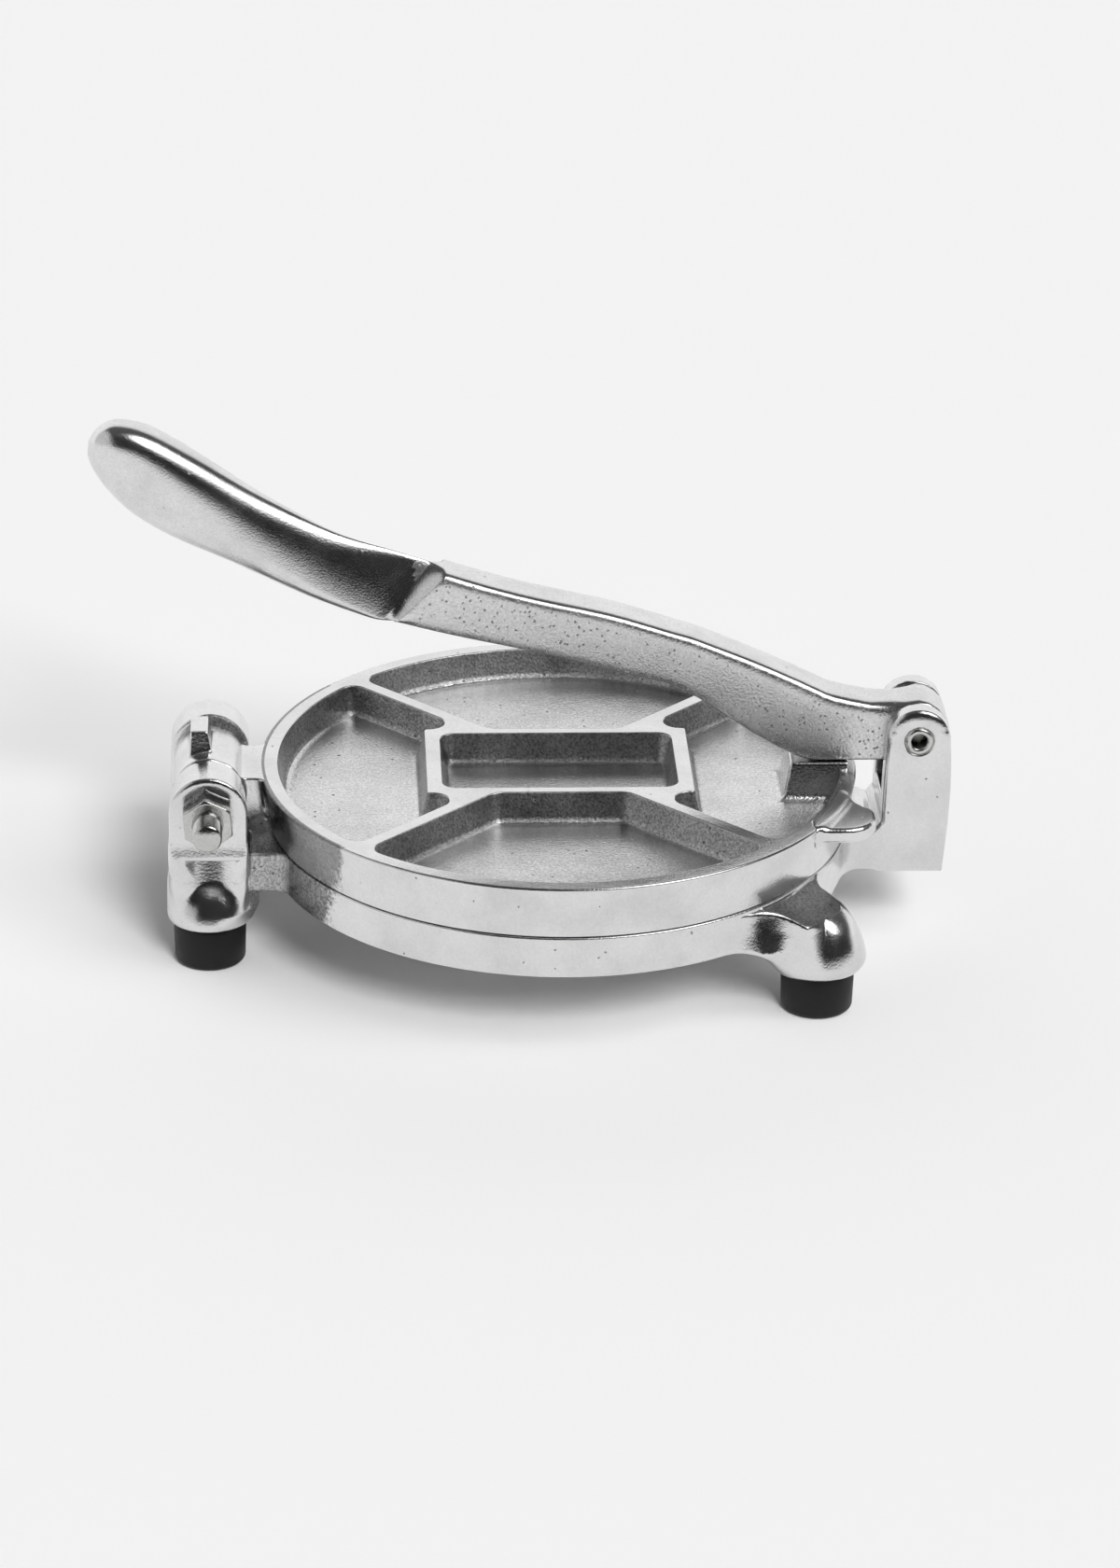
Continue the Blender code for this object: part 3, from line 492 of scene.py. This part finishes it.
def aluminium(name, shade, roughness, grain, grit, speckle, pits, skin_or_painted_reflection_from=None, skin_or_painted_reflection_greys=(0.16, 0.50), waves=0.0):
    """Cast aluminium. Grain is the size of its sand grains in millimetres, grit how deep and speckle how dark they are,
    pits the share of pinholes, and waves its unevenness from patch to patch. Left of a border given in millimetres it
    is darker, in greys between the two given with it: on the base that is the mould's skin, and on the top plate a
    painted dark reflection."""
    # Moulding sand is about 0.3 mm, too fine to show in the picture, so its grains are drawn at 0.5 to 0.8 mm.
    patches, cells_in_metre = 60.0, 600.0  # patches are 17 mm wide, and a pinhole may lie in each cell of 1.7 mm
    metal = bpy.data.materials.new(name)
    metal.use_nodes = True
    tree = metal.node_tree
    shader = tree.nodes["Principled BSDF"]
    place = add(tree, "ShaderNodeTexCoord", {}).outputs["Object"]
    fine = add(tree, "ShaderNodeTexNoise", {"Vector": place, "Scale": 1000 / grain, "Detail": 3.0, "Roughness": 0.6})
    broad = add(tree, "ShaderNodeTexNoise", {"Vector": place, "Scale": patches, "Detail": 4.0, "Roughness": 0.6})

    # Pinholes with ragged edges, closer together in some patches.
    ragged = add(tree, "ShaderNodeVectorMath", {0: fine.outputs["Color"], 1: (0.0012,) * 3, 2: place},
                 operation="MULTIPLY_ADD").outputs[0]
    cells = add(tree, "ShaderNodeTexVoronoi", {"Vector": ragged, "Scale": cells_in_metre}, feature="F1")
    chosen = add(tree, "ShaderNodeSeparateColor", {0: cells.outputs["Color"]}).outputs[0]
    share = add(tree, "ShaderNodeMapRange", {0: broad.outputs[0], 1: 0.42, 2: 0.6, 3: pits * 0.25, 4: pits * 1.4})
    rare = add(tree, "ShaderNodeMath", {0: chosen, 1: share.outputs[0]}, operation="LESS_THAN").outputs[0]
    small = add(tree, "ShaderNodeMapRange", {0: cells.outputs["Distance"], 1: 0.12, 2: 0.26, 3: 1.0, 4: 0.0})
    pit = add(tree, "ShaderNodeMath", {0: rare, 1: small.outputs[0]}, operation="MULTIPLY").outputs[0]

    # Colour and roughness. The pinholes are painted darker, as the shade inside them.
    patch = ramp(tree, broad.outputs[0], [(0.35, 1 - 0.1 - speckle * 0.4), (0.6, 1.0)])
    sandy = ramp(tree, fine.outputs[0], [(0.38, 1 - speckle), (0.6, 1.0)])
    dark = add(tree, "ShaderNodeMapRange", {0: pit, 3: 1.0, 4: 0.4}).outputs[0]
    spotted = add(tree, "ShaderNodeMath", {0: sandy, 1: dark}, operation="MULTIPLY").outputs[0]
    shaded = add(tree, "ShaderNodeMath", {0: patch, 1: spotted}, operation="MULTIPLY").outputs[0]
    smooth, rough = roughness * 0.8, roughness * 1.2
    blotch = add(tree, "ShaderNodeMapRange", {0: broad.outputs[0], 1: 0.3, 2: 0.7, 3: smooth, 4: rough}).outputs[0]
    worn = add(tree, "ShaderNodeMath", {0: pit, 1: 0.3, 2: blotch}, operation="MULTIPLY_ADD").outputs[0]

    # The darker zone up to a border that both noises make ragged: on the base the mould's skin, on the top plate a
    # painted dark reflection. The noises move the border by 13 mm on average.
    if skin_or_painted_reflection_from is not None:
        border = skin_or_painted_reflection_from * 0.001 + 0.013
        low, high = border - 0.0012, border + 0.0012
        along = add(tree, "ShaderNodeSeparateXYZ", {0: place}).outputs[0]
        for noise, moved in ((broad, 0.02), (fine, 0.006)):
            along = add(tree, "ShaderNodeMath", {0: noise.outputs[0], 1: moved, 2: along}, operation="MULTIPLY_ADD")
            along = along.outputs[0]
        left = add(tree, "ShaderNodeMapRange", {0: along, 1: low, 2: high, 3: 1.0, 4: 0.0}).outputs[0]
        dulled = add(tree, "ShaderNodeMapRange", {0: fine.outputs[0], 1: 0.35, 2: 0.65, 3: skin_or_painted_reflection_greys[0], 4: skin_or_painted_reflection_greys[1]})
        shaded = add(tree, "ShaderNodeMix", {0: left, 2: shaded, 3: dulled.outputs[0]}, data_type="FLOAT").outputs[0]
        worn = add(tree, "ShaderNodeMath", {0: left, 1: 0.14, 2: worn}, operation="MULTIPLY_ADD").outputs[0]
    colour = add(tree, "ShaderNodeMix", {0: 1.0, 6: tone(shade), 7: shaded}, data_type="RGBA", blend_type="MULTIPLY")
    tree.links.new(colour.outputs[2], shader.inputs["Base Color"])
    tree.links.new(worn, shader.inputs["Roughness"])

    # The grains stand up and the pinholes are sunk.
    waved = add(tree, "ShaderNodeMath", {0: broad.outputs[0], 1: waves, 2: fine.outputs[0]}, operation="MULTIPLY_ADD")
    sunk = add(tree, "ShaderNodeMath", {0: pit, 1: -1.0, 2: waved.outputs[0]}, operation="MULTIPLY_ADD").outputs[0]
    bump = add(tree, "ShaderNodeBump", {"Strength": grit, "Distance": grain * 0.0004, "Height": sunk})
    tree.links.new(bump.outputs[0], shader.inputs["Normal"])
    shader.inputs["Metallic"].default_value = 1.0
    return metal


def piece(name, mesh, materials, body, slot, *nodes):
    """A finished piece on its body, in place of its CAD nodes."""
    thing = bpy.data.objects.new(name, mesh)
    bpy.context.collection.objects.link(thing)
    mesh.shade_smooth()
    for material in materials:
        mesh.materials.append(material)
    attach(thing, body)
    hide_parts(*nodes)
    return thing


# Aluminium ground and buffed by a cloth wheel: satin, with soft mirror images and a few fine pinholes.
buffed = aluminium("buffed_cast_aluminium", "E6E6E6", 0.15, 0.6, 0.22, 0.06, 0.015)
# Aluminium as the sand of the mould left it, on floors that catch the light: bright, grainy and a little wavy.
sand_cast = aluminium("sand_cast_aluminium", "F2F2F2", 0.20, 0.8, 0.5, 0.20, 0.06, waves=1.6)
# The same on steep walls, where no wheel or brush reaches: rougher, with strong speckle, and painted a darker grey as
# the shade in the pockets.
rough_cast_painted_shade = aluminium("rough_cast_painted_shade_aluminium", "D2D2D2", 0.34, 0.7, 0.8, 0.50, 0.1)
# The plate's side: ground on the right, and on the left still the dark skin from the mould.
base_edge = aluminium("edge_ground_cast_aluminium", "E6E6E6", 0.15, 0.8, 0.25, 0.06, 0.03, middle - 62.8)
# The tops of the toes, which the wheel missed: rough grey sand, painted a darker grey as the shade that they mirror
# from under the tabs.
toe_top_painted_shade = aluminium("toe_top_painted_shade_aluminium", "A4A4A4", 0.30, 0.7, 0.7, 0.40, 0.1)

edge, quarter = 0.5, np.linspace(0, math.pi / 2, 5)
base_rings = [(plate_edge - 1, base_low), (plate_edge - 0.8, base_low),
              *[(plate_edge - edge + edge * math.sin(t), base_low + edge - edge * math.cos(t)) for t in quarter],
              *[(plate_edge - edge + edge * math.cos(t), base_high - edge + edge * math.sin(t)) for t in quarter],
              (plate_edge - 1, base_high)]
base_pockets = pocket_outlines(plate_edge - 5.2)
base_plate = pocketed_plate("base_plate", base_pockets, pocket_wall(3.8, 0.4, 6, 1.6), base_rings, -1)
piece("base_plate", base_plate, [buffed, sand_cast, rough_cast_painted_shade, base_edge], "base", "cast_aluminium", "base")

# The shelf beside the legs is left as cast, rough and darker. A crescent inside the rear ear's front edge gets the same
# darker grey, as painted shade between the ear and the knuckle.
hinge_end_mesh = skin("base_hinge_end", hinge_end, (-99, -33.5, 1.5), (-56, 33.5, 59), 0.5)
for face in hinge_end_mesh.polygons:
    at_shelf = face.center.x > -0.0752 and face.center.z < 0.0345
    at_crescent = 0.0118 < face.center.y < 0.0134 and face.center.z > 0.05 and face.center.x > -0.0872
    face.material_index = int(at_shelf or at_crescent)
piece("base_hinge_end", hinge_end_mesh, [buffed, rough_cast_painted_shade], "base", "cast_aluminium", "base")

yoke_end_mesh = skin("base_yoke_end", yoke_end, (43, -71, 1.5), (120, 71, 71.5), 0.55)
# The toes' upward tops take the darker grey of painted shade.
for face in yoke_end_mesh.polygons:
    at_toe = abs(face.center.y) > 0.042 and 0.026 < face.center.z < 0.0341
    face.material_index = int(at_toe and 0.86 < face.normal.z < 0.97)
piece("base_yoke_end", yoke_end_mesh, [buffed, toe_top_painted_shade], "base", "cast_aluminium", "base")


# Top plate: a second sand casting, with five pockets that keep it light, an arm and knuckle for the hinge, a nub that
# stops it when it opens, two lifting tabs, and a block that the lever bears on. Its rim and ribs are ground flat.

top_low, top_high, top_floor, rim = 34.8, 50.0, 41.6, 82.5


def top_disc(x, y, z):
    """The round plate with its drafted edge, a hair inside the one that shows."""
    out = np.hypot(x - middle, y)
    lean = (rim - plate_edge) / (top_high - top_low)
    side_of = (out - plate_edge - (z - top_low) * lean) / math.hypot(1, lean)
    half = (top_high - top_low) / 2 - hair
    return trim(side_of + hair, np.abs(z - (top_low + top_high) / 2) - half, 1.2)


def plate_hinge(x, y, z):
    """Arm, knuckle and nub."""
    hinge_x, hinge_z = hinge_at
    arm_half, knuckle_half, knuckle_radius, nub_high = 11.3, 12.0, 9.8, 61.5
    near, out = np.abs(y), np.hypot(x - middle, y)
    plate = np.maximum(np.maximum(top_disc(x, y, z), 79 - out), near - 13.4)
    arm = block(x, y, z, (hinge_x, -arm_half, 37.0), (-60, arm_half, top_high + 2), 0.6)
    joined = np.maximum(blend(plate, np.maximum(arm, 79 - out), 2.6), z - top_high + hair)
    knuckle = np.hypot(x - hinge_x, z - hinge_z) - knuckle_radius
    ground_flat = (x - hinge_x) * 0.375 + (z - hinge_z) * 0.927 - 9.5
    knuckle = drawn_out(trim(knuckle, ground_flat, 0.3), y, knuckle_half, 0.8)
    joined = blend(joined, knuckle, 1.2)
    fall = np.clip(nub_high - z, 0, 8)
    leaning = (x - hinge_x + 2.6 - 0.07 * fall) / (1 + 0.05 * fall)
    nub = block(leaning, near - 0.28 * fall, z, (-2.35, -5.4, 46), (2.35, 5.4, nub_high), 0.3)
    return np.maximum(blend(joined, nub, 0.7), np.minimum(top_low + hair - z, x + 66))


def plate_front(x, y, z):
    """Lifting tabs."""
    out = np.hypot(x - middle, y)
    root, end, outer, inner = middle + 64.5, rim + 2.5 + middle, 46, 18
    plate = np.maximum(top_disc(x, y, z), 78 - x)
    plate = np.maximum(plate, 79.5 - out)
    tab_outline = [(root, outer), *arc((end - 9, outer - 9), 9, 90, 0, 8), *arc((end - 5, 35), 5, 0, -60, 6),
                   (middle + rim - 9, inner), (root, inner)]
    tab = drawn_out(shape(x, np.abs(y), tab_outline), z - 47.5, 2.2, 1.3)
    tab = np.maximum(tab, 78.6 - out)
    return blend(plate, tab, 2.6)


def press_block(x, y, z):
    """Block that the lever bears down on, on the pocket's floor."""
    block_high, block_end, half_width, left_end = 51.7, 90.35, 6.7, 74.15
    near = np.abs(y)
    wide = (near - half_width - (block_high - z) * 0.26) * 0.97
    left = (left_end - (block_high - z) * 0.2 - x) * 0.95
    upper = trim(trim(wide, left, 1.0), np.maximum(z - block_high, x - block_end), 0.8)
    floor = np.maximum(z - top_floor + hair, np.hypot(x - middle, y) - 74)
    joined = blend(upper, floor, 2.0)
    return np.maximum(joined, np.maximum(np.maximum(near - 15, 62 - x), 39 - z))


# The plate's side was buffed harder than the base's: clearer mirror images. On the left it is painted a smooth dark
# grey, as a dark reflection.
plate_edge_painted_reflection = aluminium("edge_buffed_painted_reflection_aluminium", "E6E6E6", 0.14, 0.8, 0.2, 0.06, 0.03, middle - 61.9,
                             (0.30, 0.44))
brow = 0.6  # rounding of the rim's upper edge
top_rings = [(rim - 1.2, top_high), (rim - 1, top_high),
             *[(rim - brow + brow * math.sin(t), top_high - brow + brow * math.cos(t))
               for t in np.linspace(0, math.pi / 2, 6)],
             *[(plate_edge - edge + edge * math.cos(t), top_low + edge - edge * math.sin(t)) for t in quarter],
             (plate_edge - 1, top_low)]
top_pockets = pocket_outlines(rim - 4.9)
top_plate = pocketed_plate("top_plate_disc", top_pockets, pocket_wall(8.4, 0.45, 13, 2.4), top_rings, 1)
piece("top_plate_disc", top_plate, [buffed, sand_cast, rough_cast_painted_shade, plate_edge_painted_reflection], "top_plate", "cast_aluminium",
      "top_plate")
plate_hinge_mesh = skin("top_plate_hinge", plate_hinge, (-97, -14, 34), (-58, 14, 63), 0.4)
piece("top_plate_hinge", plate_hinge_mesh, [buffed], "top_plate", "cast_aluminium", "top_plate")
tabs_mesh = skin("top_plate_tabs", plate_front, (76, -48, 33), (97, 48, 52), 0.45)
piece("top_plate_tabs", tabs_mesh, [buffed], "top_plate", "cast_aluminium", "top_plate")
block_mesh = skin("top_plate_block", press_block, (60, -17, 38), (93, 17, 53), 0.4)
for face in block_mesh.polygons:
    face.material_index = int(face.center.z < 0.0508)  # only its top is worn bright by the lever
piece("top_plate_block", block_mesh, [buffed, sand_cast], "top_plate", "cast_aluminium", "top_plate")


# Hinge bolt and nut: a plated steel bolt through both ears and the knuckle, its hexagon head at the rear and a
# hexagon nut in front. Hot-forged hexagons have their corners turned off by a chamfer.

def turned(name, profile, steps, place):
    """A profile of (radius, y), spun about the axis along Y through a place."""
    bm = bmesh.new()
    points = [bm.verts.new((place[0] + radius, y, place[1])) for radius, y in profile]
    edges = [bm.edges.new(pair) for pair in zip(points, points[1:])]
    bmesh.ops.spin(bm, geom=points + edges, cent=(place[0], 0, place[1]), axis=(0, 1, 0), angle=math.tau, steps=steps)
    bmesh.ops.remove_doubles(bm, verts=bm.verts, dist=0.0005)
    bmesh.ops.scale(bm, vec=(0.001, 0.001, 0.001), verts=bm.verts)
    mesh = bpy.data.meshes.new(name)
    bm.to_mesh(mesh)
    bm.free()
    return closed(mesh)


def hexagon(x, y, z, low, high, turn):
    """Field of a hexagon prism along Y, and the distance to the cylinder that its corners are turned down to."""
    across_flats, corner_radius = 13, 6.55
    u, v = x - hinge_at[0], z - hinge_at[1]
    flats = np.max([u * math.cos(math.radians(turn + a)) + v * math.sin(math.radians(turn + a))
                    for a in range(0, 360, 60)], axis=0) - across_flats / 2
    prism = drawn_out(flats, y - (low + high) / 2, (high - low) / 2, 0.15)
    return prism, np.hypot(u, v) - corner_radius


def nut(x, y, z):
    """Nut on the front ear, turned down at both ends."""
    low, high, thread_radius = -33.8, -27.6, 3.9
    prism, off = hexagon(x, y, z, low, high, 5)
    chamfer = np.maximum(off - (y - low) * 1.7, off - (high - y) * 1.7) * 0.5
    thread = thread_radius - np.hypot(x - hinge_at[0], z - hinge_at[1])
    return np.maximum(np.maximum(prism, chamfer), thread)


def bolt_head(x, y, z):
    """Head on the rear ear, turned down on its outer face."""
    low, high = 27.6, 33.6
    prism, off = hexagon(x, y, z, low, high, 45)
    return np.maximum(prism, (off - (high - y) * 1.7) * 0.5)


# Zinc-plated steel: a little darker and warmer than the castings, with clear mirror images and hardly any grain.
plated = aluminium("plated_steel", "D2D2D0", 0.15, 0.7, 0.25, 0.10, 0.01)
shank = [(0, -42.6), (3.4, -42.6), (4.0, -42.0), (4.0, 28), (0, 28)]
shank_mesh = turned("hinge_bolt_shank", shank, 48, hinge_at)
piece("hinge_bolt_shank", shank_mesh, [plated], "base", "plated_steel", "hinge_bolt")
head_mesh = skin("hinge_bolt_head", bolt_head, (-95, 26.5, 37.5), (-77.5, 34.5, 55), 0.3)
piece("hinge_bolt_head", head_mesh, [plated], "base", "plated_steel", "hinge_bolt")
nut_mesh = skin("hinge_nut_hexagon", nut, (-95, -34.7, 37.5), (-77.5, -26.8, 55), 0.3)
piece("hinge_nut_hexagon", nut_mesh, [plated], "base", "plated_steel", "hinge_nut")


# Lever: the third casting, an eye on the pin, a flat-sided bar that bends up over the plate and a rounded grip that
# starts at a slanting shoulder. Its top is buffed, and its flat sides keep more of the sand's pinholes.

# Stations along the bar and the grip: a point on the underside and one on the top, each as (share of the lever's
# reach from the pin, share of its rise), and on the grip the share of its full width too.
bar_shares = (
    (0.062, 0.000, 0.057, 0.173), (0.119, 0.000, 0.101, 0.196), (0.137, 0.007, 0.125, 0.221),
    (0.154, 0.022, 0.150, 0.249), (0.198, 0.081, 0.201, 0.303), (0.251, 0.166, 0.251, 0.351),
    (0.278, 0.205, 0.275, 0.373), (0.304, 0.236, 0.300, 0.391), (0.362, 0.270, 0.375, 0.445),
    (0.459, 0.329, 0.459, 0.490), (0.565, 0.384, 0.516, 0.525), (0.634, 0.425, 0.572, 0.566),
)
grip_shares = (
    (0.652, 0.426, 0.592, 0.580, 0.74), (0.675, 0.438, 0.634, 0.613, 0.76), (0.741, 0.494, 0.706, 0.669, 0.82),
    (0.829, 0.591, 0.794, 0.782, 0.94), (0.900, 0.665, 0.873, 0.903, 1.00), (0.948, 0.734, 0.926, 0.973, 0.95),
    (0.977, 0.802, 0.964, 0.993, 0.79), (0.994, 0.862, 0.986, 0.974, 0.52), (1.000, 0.900, 0.998, 0.940, 0.20),
)
lever_reach, lever_lift, eye_radius = 226.7, 99.0, 9
eye_half, bar_half, grip_half = 7.3, 7.1, 8.8
around_lever = 96


def lever_ring(under, over, half_width, powers, widest=0.0, lean=0.0):
    """A section between a point on the underside and one on the top, both (x, z), widest at a share between them, with
    its sides leaning in by a share of their width over that."""
    under, over = np.array(under), np.array(over)
    angle = np.linspace(0, math.tau, around_lever, endpoint=False)
    sine, cosine = np.sin(angle), np.cos(angle)
    up = np.sign(sine) * np.abs(sine) ** (2 / np.where(sine > 0, powers[0], powers[1]))
    power = np.where(up > widest, powers[0], powers[1])
    rise = np.abs(up - widest) / np.where(up > widest, 1 - widest, 1 + widest)
    out = np.sign(cosine) * np.maximum(1 - rise ** power, 0) ** (1 / power) * (1 - lean * rise * (up > widest))
    line = (under + over)[None] / 2 + up[:, None] * (over - under)[None] / 2
    return np.stack([line[:, 0], out * half_width, line[:, 1]], 1)


def at_share(row):
    """The two points of a station, as (x, z) in millimetres."""
    low = pin_at[1] - eye_radius
    return ((pin_at[0] - row[0] * lever_reach, low + row[1] * lever_lift),
            (pin_at[0] - row[2] * lever_reach, low + row[3] * lever_lift))


rings = []
for angle in (2, 8, 18, 32, 50, 70, 88):  # round the far half of the eye
    x = pin_at[0] + eye_radius * math.cos(math.radians(angle))
    rise = eye_radius * math.sin(math.radians(angle))
    rings.append(lever_ring((x, pin_at[1] - rise), (x, pin_at[1] + rise), eye_half, (9, 9)))
rings.append(lever_ring((106.0, 52.0), (105.6, 69.3), 7.25, (7, 9)))
rings.append(lever_ring((101.0, 52.0), (101.5, 69.0), 7.15, (4.5, 9)))
for row in smoothed(bar_shares, 5):
    rings.append(lever_ring(*at_share(row), bar_half, (6.0, 9.0)))
rings.append(lever_ring(*at_share((0.6358, 0.4245, 0.5738, 0.5675)), 6.95, (6.0, 9.0)))  # the shoulder's edge
rings.append(lever_ring(*at_share((0.6385, 0.4235, 0.5765, 0.5695)), 6.35, (4.5, 5.0), -0.3, 0.12))  # and its foot
for row in smoothed(grip_shares, 6):
    way = min(max((row[0] - 0.66) / 0.30, 0), 1)
    powers, widest, lean = (1.8 + 1.3 * way, 2.2), -0.85 + 0.95 * way, 0.58 * (1 - way)
    rings.append(lever_ring(*at_share(row), row[4] * grip_half, powers, widest, lean))
points = np.concatenate(rings)
faces = [(r * around_lever + i, r * around_lever + (i + 1) % around_lever,
          (r + 1) * around_lever + (i + 1) % around_lever, (r + 1) * around_lever + i)
         for r in range(len(rings) - 1) for i in range(around_lever)]
faces += [tuple(range(around_lever)), tuple(range(len(points) - around_lever, len(points)))]
blank_mesh = bpy.data.meshes.new("lever_blank")
blank_mesh.from_pydata(points * 0.001, [], faces)
lever = bpy.data.objects.new("lever_blank", closed(blank_mesh))
bpy.context.collection.objects.link(lever)
drill = bpy.data.objects.new("drill", turned("drill", [(0, -20), (3.95, -20), (3.95, 20), (0, 20)], 64, pin_at))
bpy.context.collection.objects.link(drill)
drilling = lever.modifiers.new("drilling", "BOOLEAN")
drilling.object = drill
drilling.solver = "EXACT"
bpy.context.view_layer.update()
lever_mesh = bpy.data.meshes.new_from_object(lever.evaluated_get(bpy.context.evaluated_depsgraph_get()))
bpy.data.objects.remove(lever)
bpy.data.objects.remove(drill)
lever_mesh.name = "lever_casting"
# The top and the grip, buffed by hand: a finely grained shine, with dark and light bands along the bend.
hand_buffed = aluminium("hand_buffed_cast_aluminium", "E6E6E6", 0.16, 0.5, 0.26, 0.12, 0.02)
# The flat sides, only brushed: bright and matt, and peppered with pinholes.
pitted = aluminium("pitted_cast_aluminium", "EEEEEE", 0.27, 0.7, 0.45, 0.18, 0.8)
for face in lever_mesh.polygons:
    face.material_index = int(abs(face.normal.y) > 0.8 and face.center.x > -0.03)
piece("lever_casting", lever_mesh, [hand_buffed, pitted], "lever", "cast_aluminium", "lever")


# Lever pin: a hollow pin of plated steel, held in both sides of the yoke, on which the lever's eye turns. It is turned
# from tube, with both rims bevelled.

tube = [(2.2, -13.5), (2.5, -13.95), (3.4, -13.95), (3.9, -13.4), (3.9, 13.4), (3.4, 13.95), (2.5, 13.95), (2.2, 13.5),
        (2.2, -13.5)]
piece("lever_pin_tube", turned("lever_pin_tube", tube, 64, pin_at), [plated], "base", "plated_steel", "lever_pin")


# Feet: four moulded caps of black rubber, all alike, pushed up over the pegs under the legs. Each tapers slightly
# towards its rounded sole.

sole = [(0, 0), (8.0, 0), *[(8.0 + 1.75 * math.sin(t), 1.75 - 1.75 * math.cos(t)) for t in np.linspace(0.2, 1.5, 7)],
        (10.0, 11.3), (9.7, 11.9), (6.6, 11.9), (6.3, 11.6), (6.3, 2.2), (0, 2.2)]
bm = bmesh.new()
points = [bm.verts.new((radius * 0.001, 0, height * 0.001)) for radius, height in sole]
edges = [bm.edges.new(pair) for pair in zip(points, points[1:])]
bmesh.ops.spin(bm, geom=points + edges, cent=(0, 0, 0), axis=(0, 0, 1), angle=math.tau, steps=64)
bmesh.ops.remove_doubles(bm, verts=bm.verts, dist=0.000001)
bmesh.ops.recalc_face_normals(bm, faces=bm.faces)
cap_mesh = bpy.data.meshes.new("foot_cap")
bm.to_mesh(cap_mesh)
bm.free()
cap_mesh.shade_smooth()
cap_mesh.set_sharp_from_angle(angle=math.radians(40))
# Moulded rubber: almost black and satin, with a faint bloom in patches of 4 mm. The fine grain from the mould is
# drawn at 0.7 mm, so that it shows.
rubber = bpy.data.materials.new("moulded_black_rubber")
rubber.use_nodes = True
tree = rubber.node_tree
shader = tree.nodes["Principled BSDF"]
place = add(tree, "ShaderNodeTexCoord", {}).outputs["Object"]
bloom = add(tree, "ShaderNodeTexNoise", {"Vector": place, "Scale": 250.0, "Detail": 4.0})
tree.links.new(ramp(tree, bloom.outputs[0], [(0.3, 0.002), (0.7, 0.006)]), shader.inputs["Base Color"])
shader.inputs["Specular IOR Level"].default_value = 0.34
tree.links.new(ramp(tree, bloom.outputs[0], [(0.3, 0.42), (0.7, 0.55)]), shader.inputs["Roughness"])
dimple = add(tree, "ShaderNodeTexNoise", {"Vector": place, "Scale": 1500.0, "Detail": 2.0})
bump = add(tree, "ShaderNodeBump", {"Strength": 0.3, "Distance": 0.0001, "Height": dimple.outputs[0]})
tree.links.new(bump.outputs[0], shader.inputs["Normal"])

feet = bpy.data.objects.new("feet_layout", cap_mesh)
bpy.context.collection.objects.link(feet)
layout = bpy.data.node_groups.new("feet_layout", "GeometryNodeTree")
layout.interface.new_socket("Cap", in_out="INPUT", socket_type="NodeSocketGeometry")
sockets = {}
for label in ("Hinge leg along", "Hinge leg across", "Toe along", "Toe across"):
    sockets[label] = layout.interface.new_socket(label, in_out="INPUT", socket_type="NodeSocketFloat").identifier
layout.interface.new_socket("Feet", in_out="OUTPUT", socket_type="NodeSocketGeometry")
given = add(layout, "NodeGroupInput", {}).outputs
count = add(layout, "GeometryNodeInputIndex", {}).outputs[0]
at_toe = add(layout, "ShaderNodeMath", {0: count, 1: 1.5}, operation="GREATER_THAN").outputs[0]
odd = add(layout, "ShaderNodeMath", {0: count, 1: 2.0}, operation="MODULO").outputs[0]
hand = add(layout, "ShaderNodeMath", {0: odd, 1: 2.0, 2: -1.0}, operation="MULTIPLY_ADD").outputs[0]
along = add(layout, "ShaderNodeMix", {0: at_toe, 2: given["Hinge leg along"], 3: given["Toe along"]}, data_type="FLOAT")
off = add(layout, "ShaderNodeMix", {0: at_toe, 2: given["Hinge leg across"], 3: given["Toe across"]}, data_type="FLOAT")
sideways = add(layout, "ShaderNodeMath", {0: hand, 1: off.outputs[0]}, operation="MULTIPLY").outputs[0]
spot = add(layout, "ShaderNodeCombineXYZ", {0: along.outputs[0], 1: sideways}).outputs[0]
marks = add(layout, "GeometryNodePoints", {"Count": 4, "Position": spot}).outputs[0]
copies = add(layout, "GeometryNodeInstanceOnPoints", {"Points": marks, "Instance": given["Cap"]}).outputs[0]
real = add(layout, "GeometryNodeRealizeInstances", {0: copies}).outputs[0]
painted = add(layout, "GeometryNodeSetMaterial", {"Geometry": real, "Material": rubber}).outputs[0]
add(layout, "NodeGroupOutput", {0: painted})
modifier = feet.modifiers.new("layout", "NODES")
modifier.node_group = layout
places = {"Hinge leg along": hinge_leg_at[0], "Hinge leg across": hinge_leg_at[1], "Toe along": toe_at[0],
          "Toe across": toe_at[1]}
for label, value in places.items():
    modifier[sockets[label]] = value * 0.001
bpy.context.view_layer.update()
feet_mesh = bpy.data.meshes.new_from_object(feet.evaluated_get(bpy.context.evaluated_depsgraph_get()))
bpy.data.objects.remove(feet)
feet_mesh.name = "feet"
feet = bpy.data.objects.new("feet", feet_mesh)
bpy.context.collection.objects.link(feet)
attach(feet, "base")
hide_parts("foot_front_left", "foot_rear_left", "foot_front_right", "foot_rear_right")
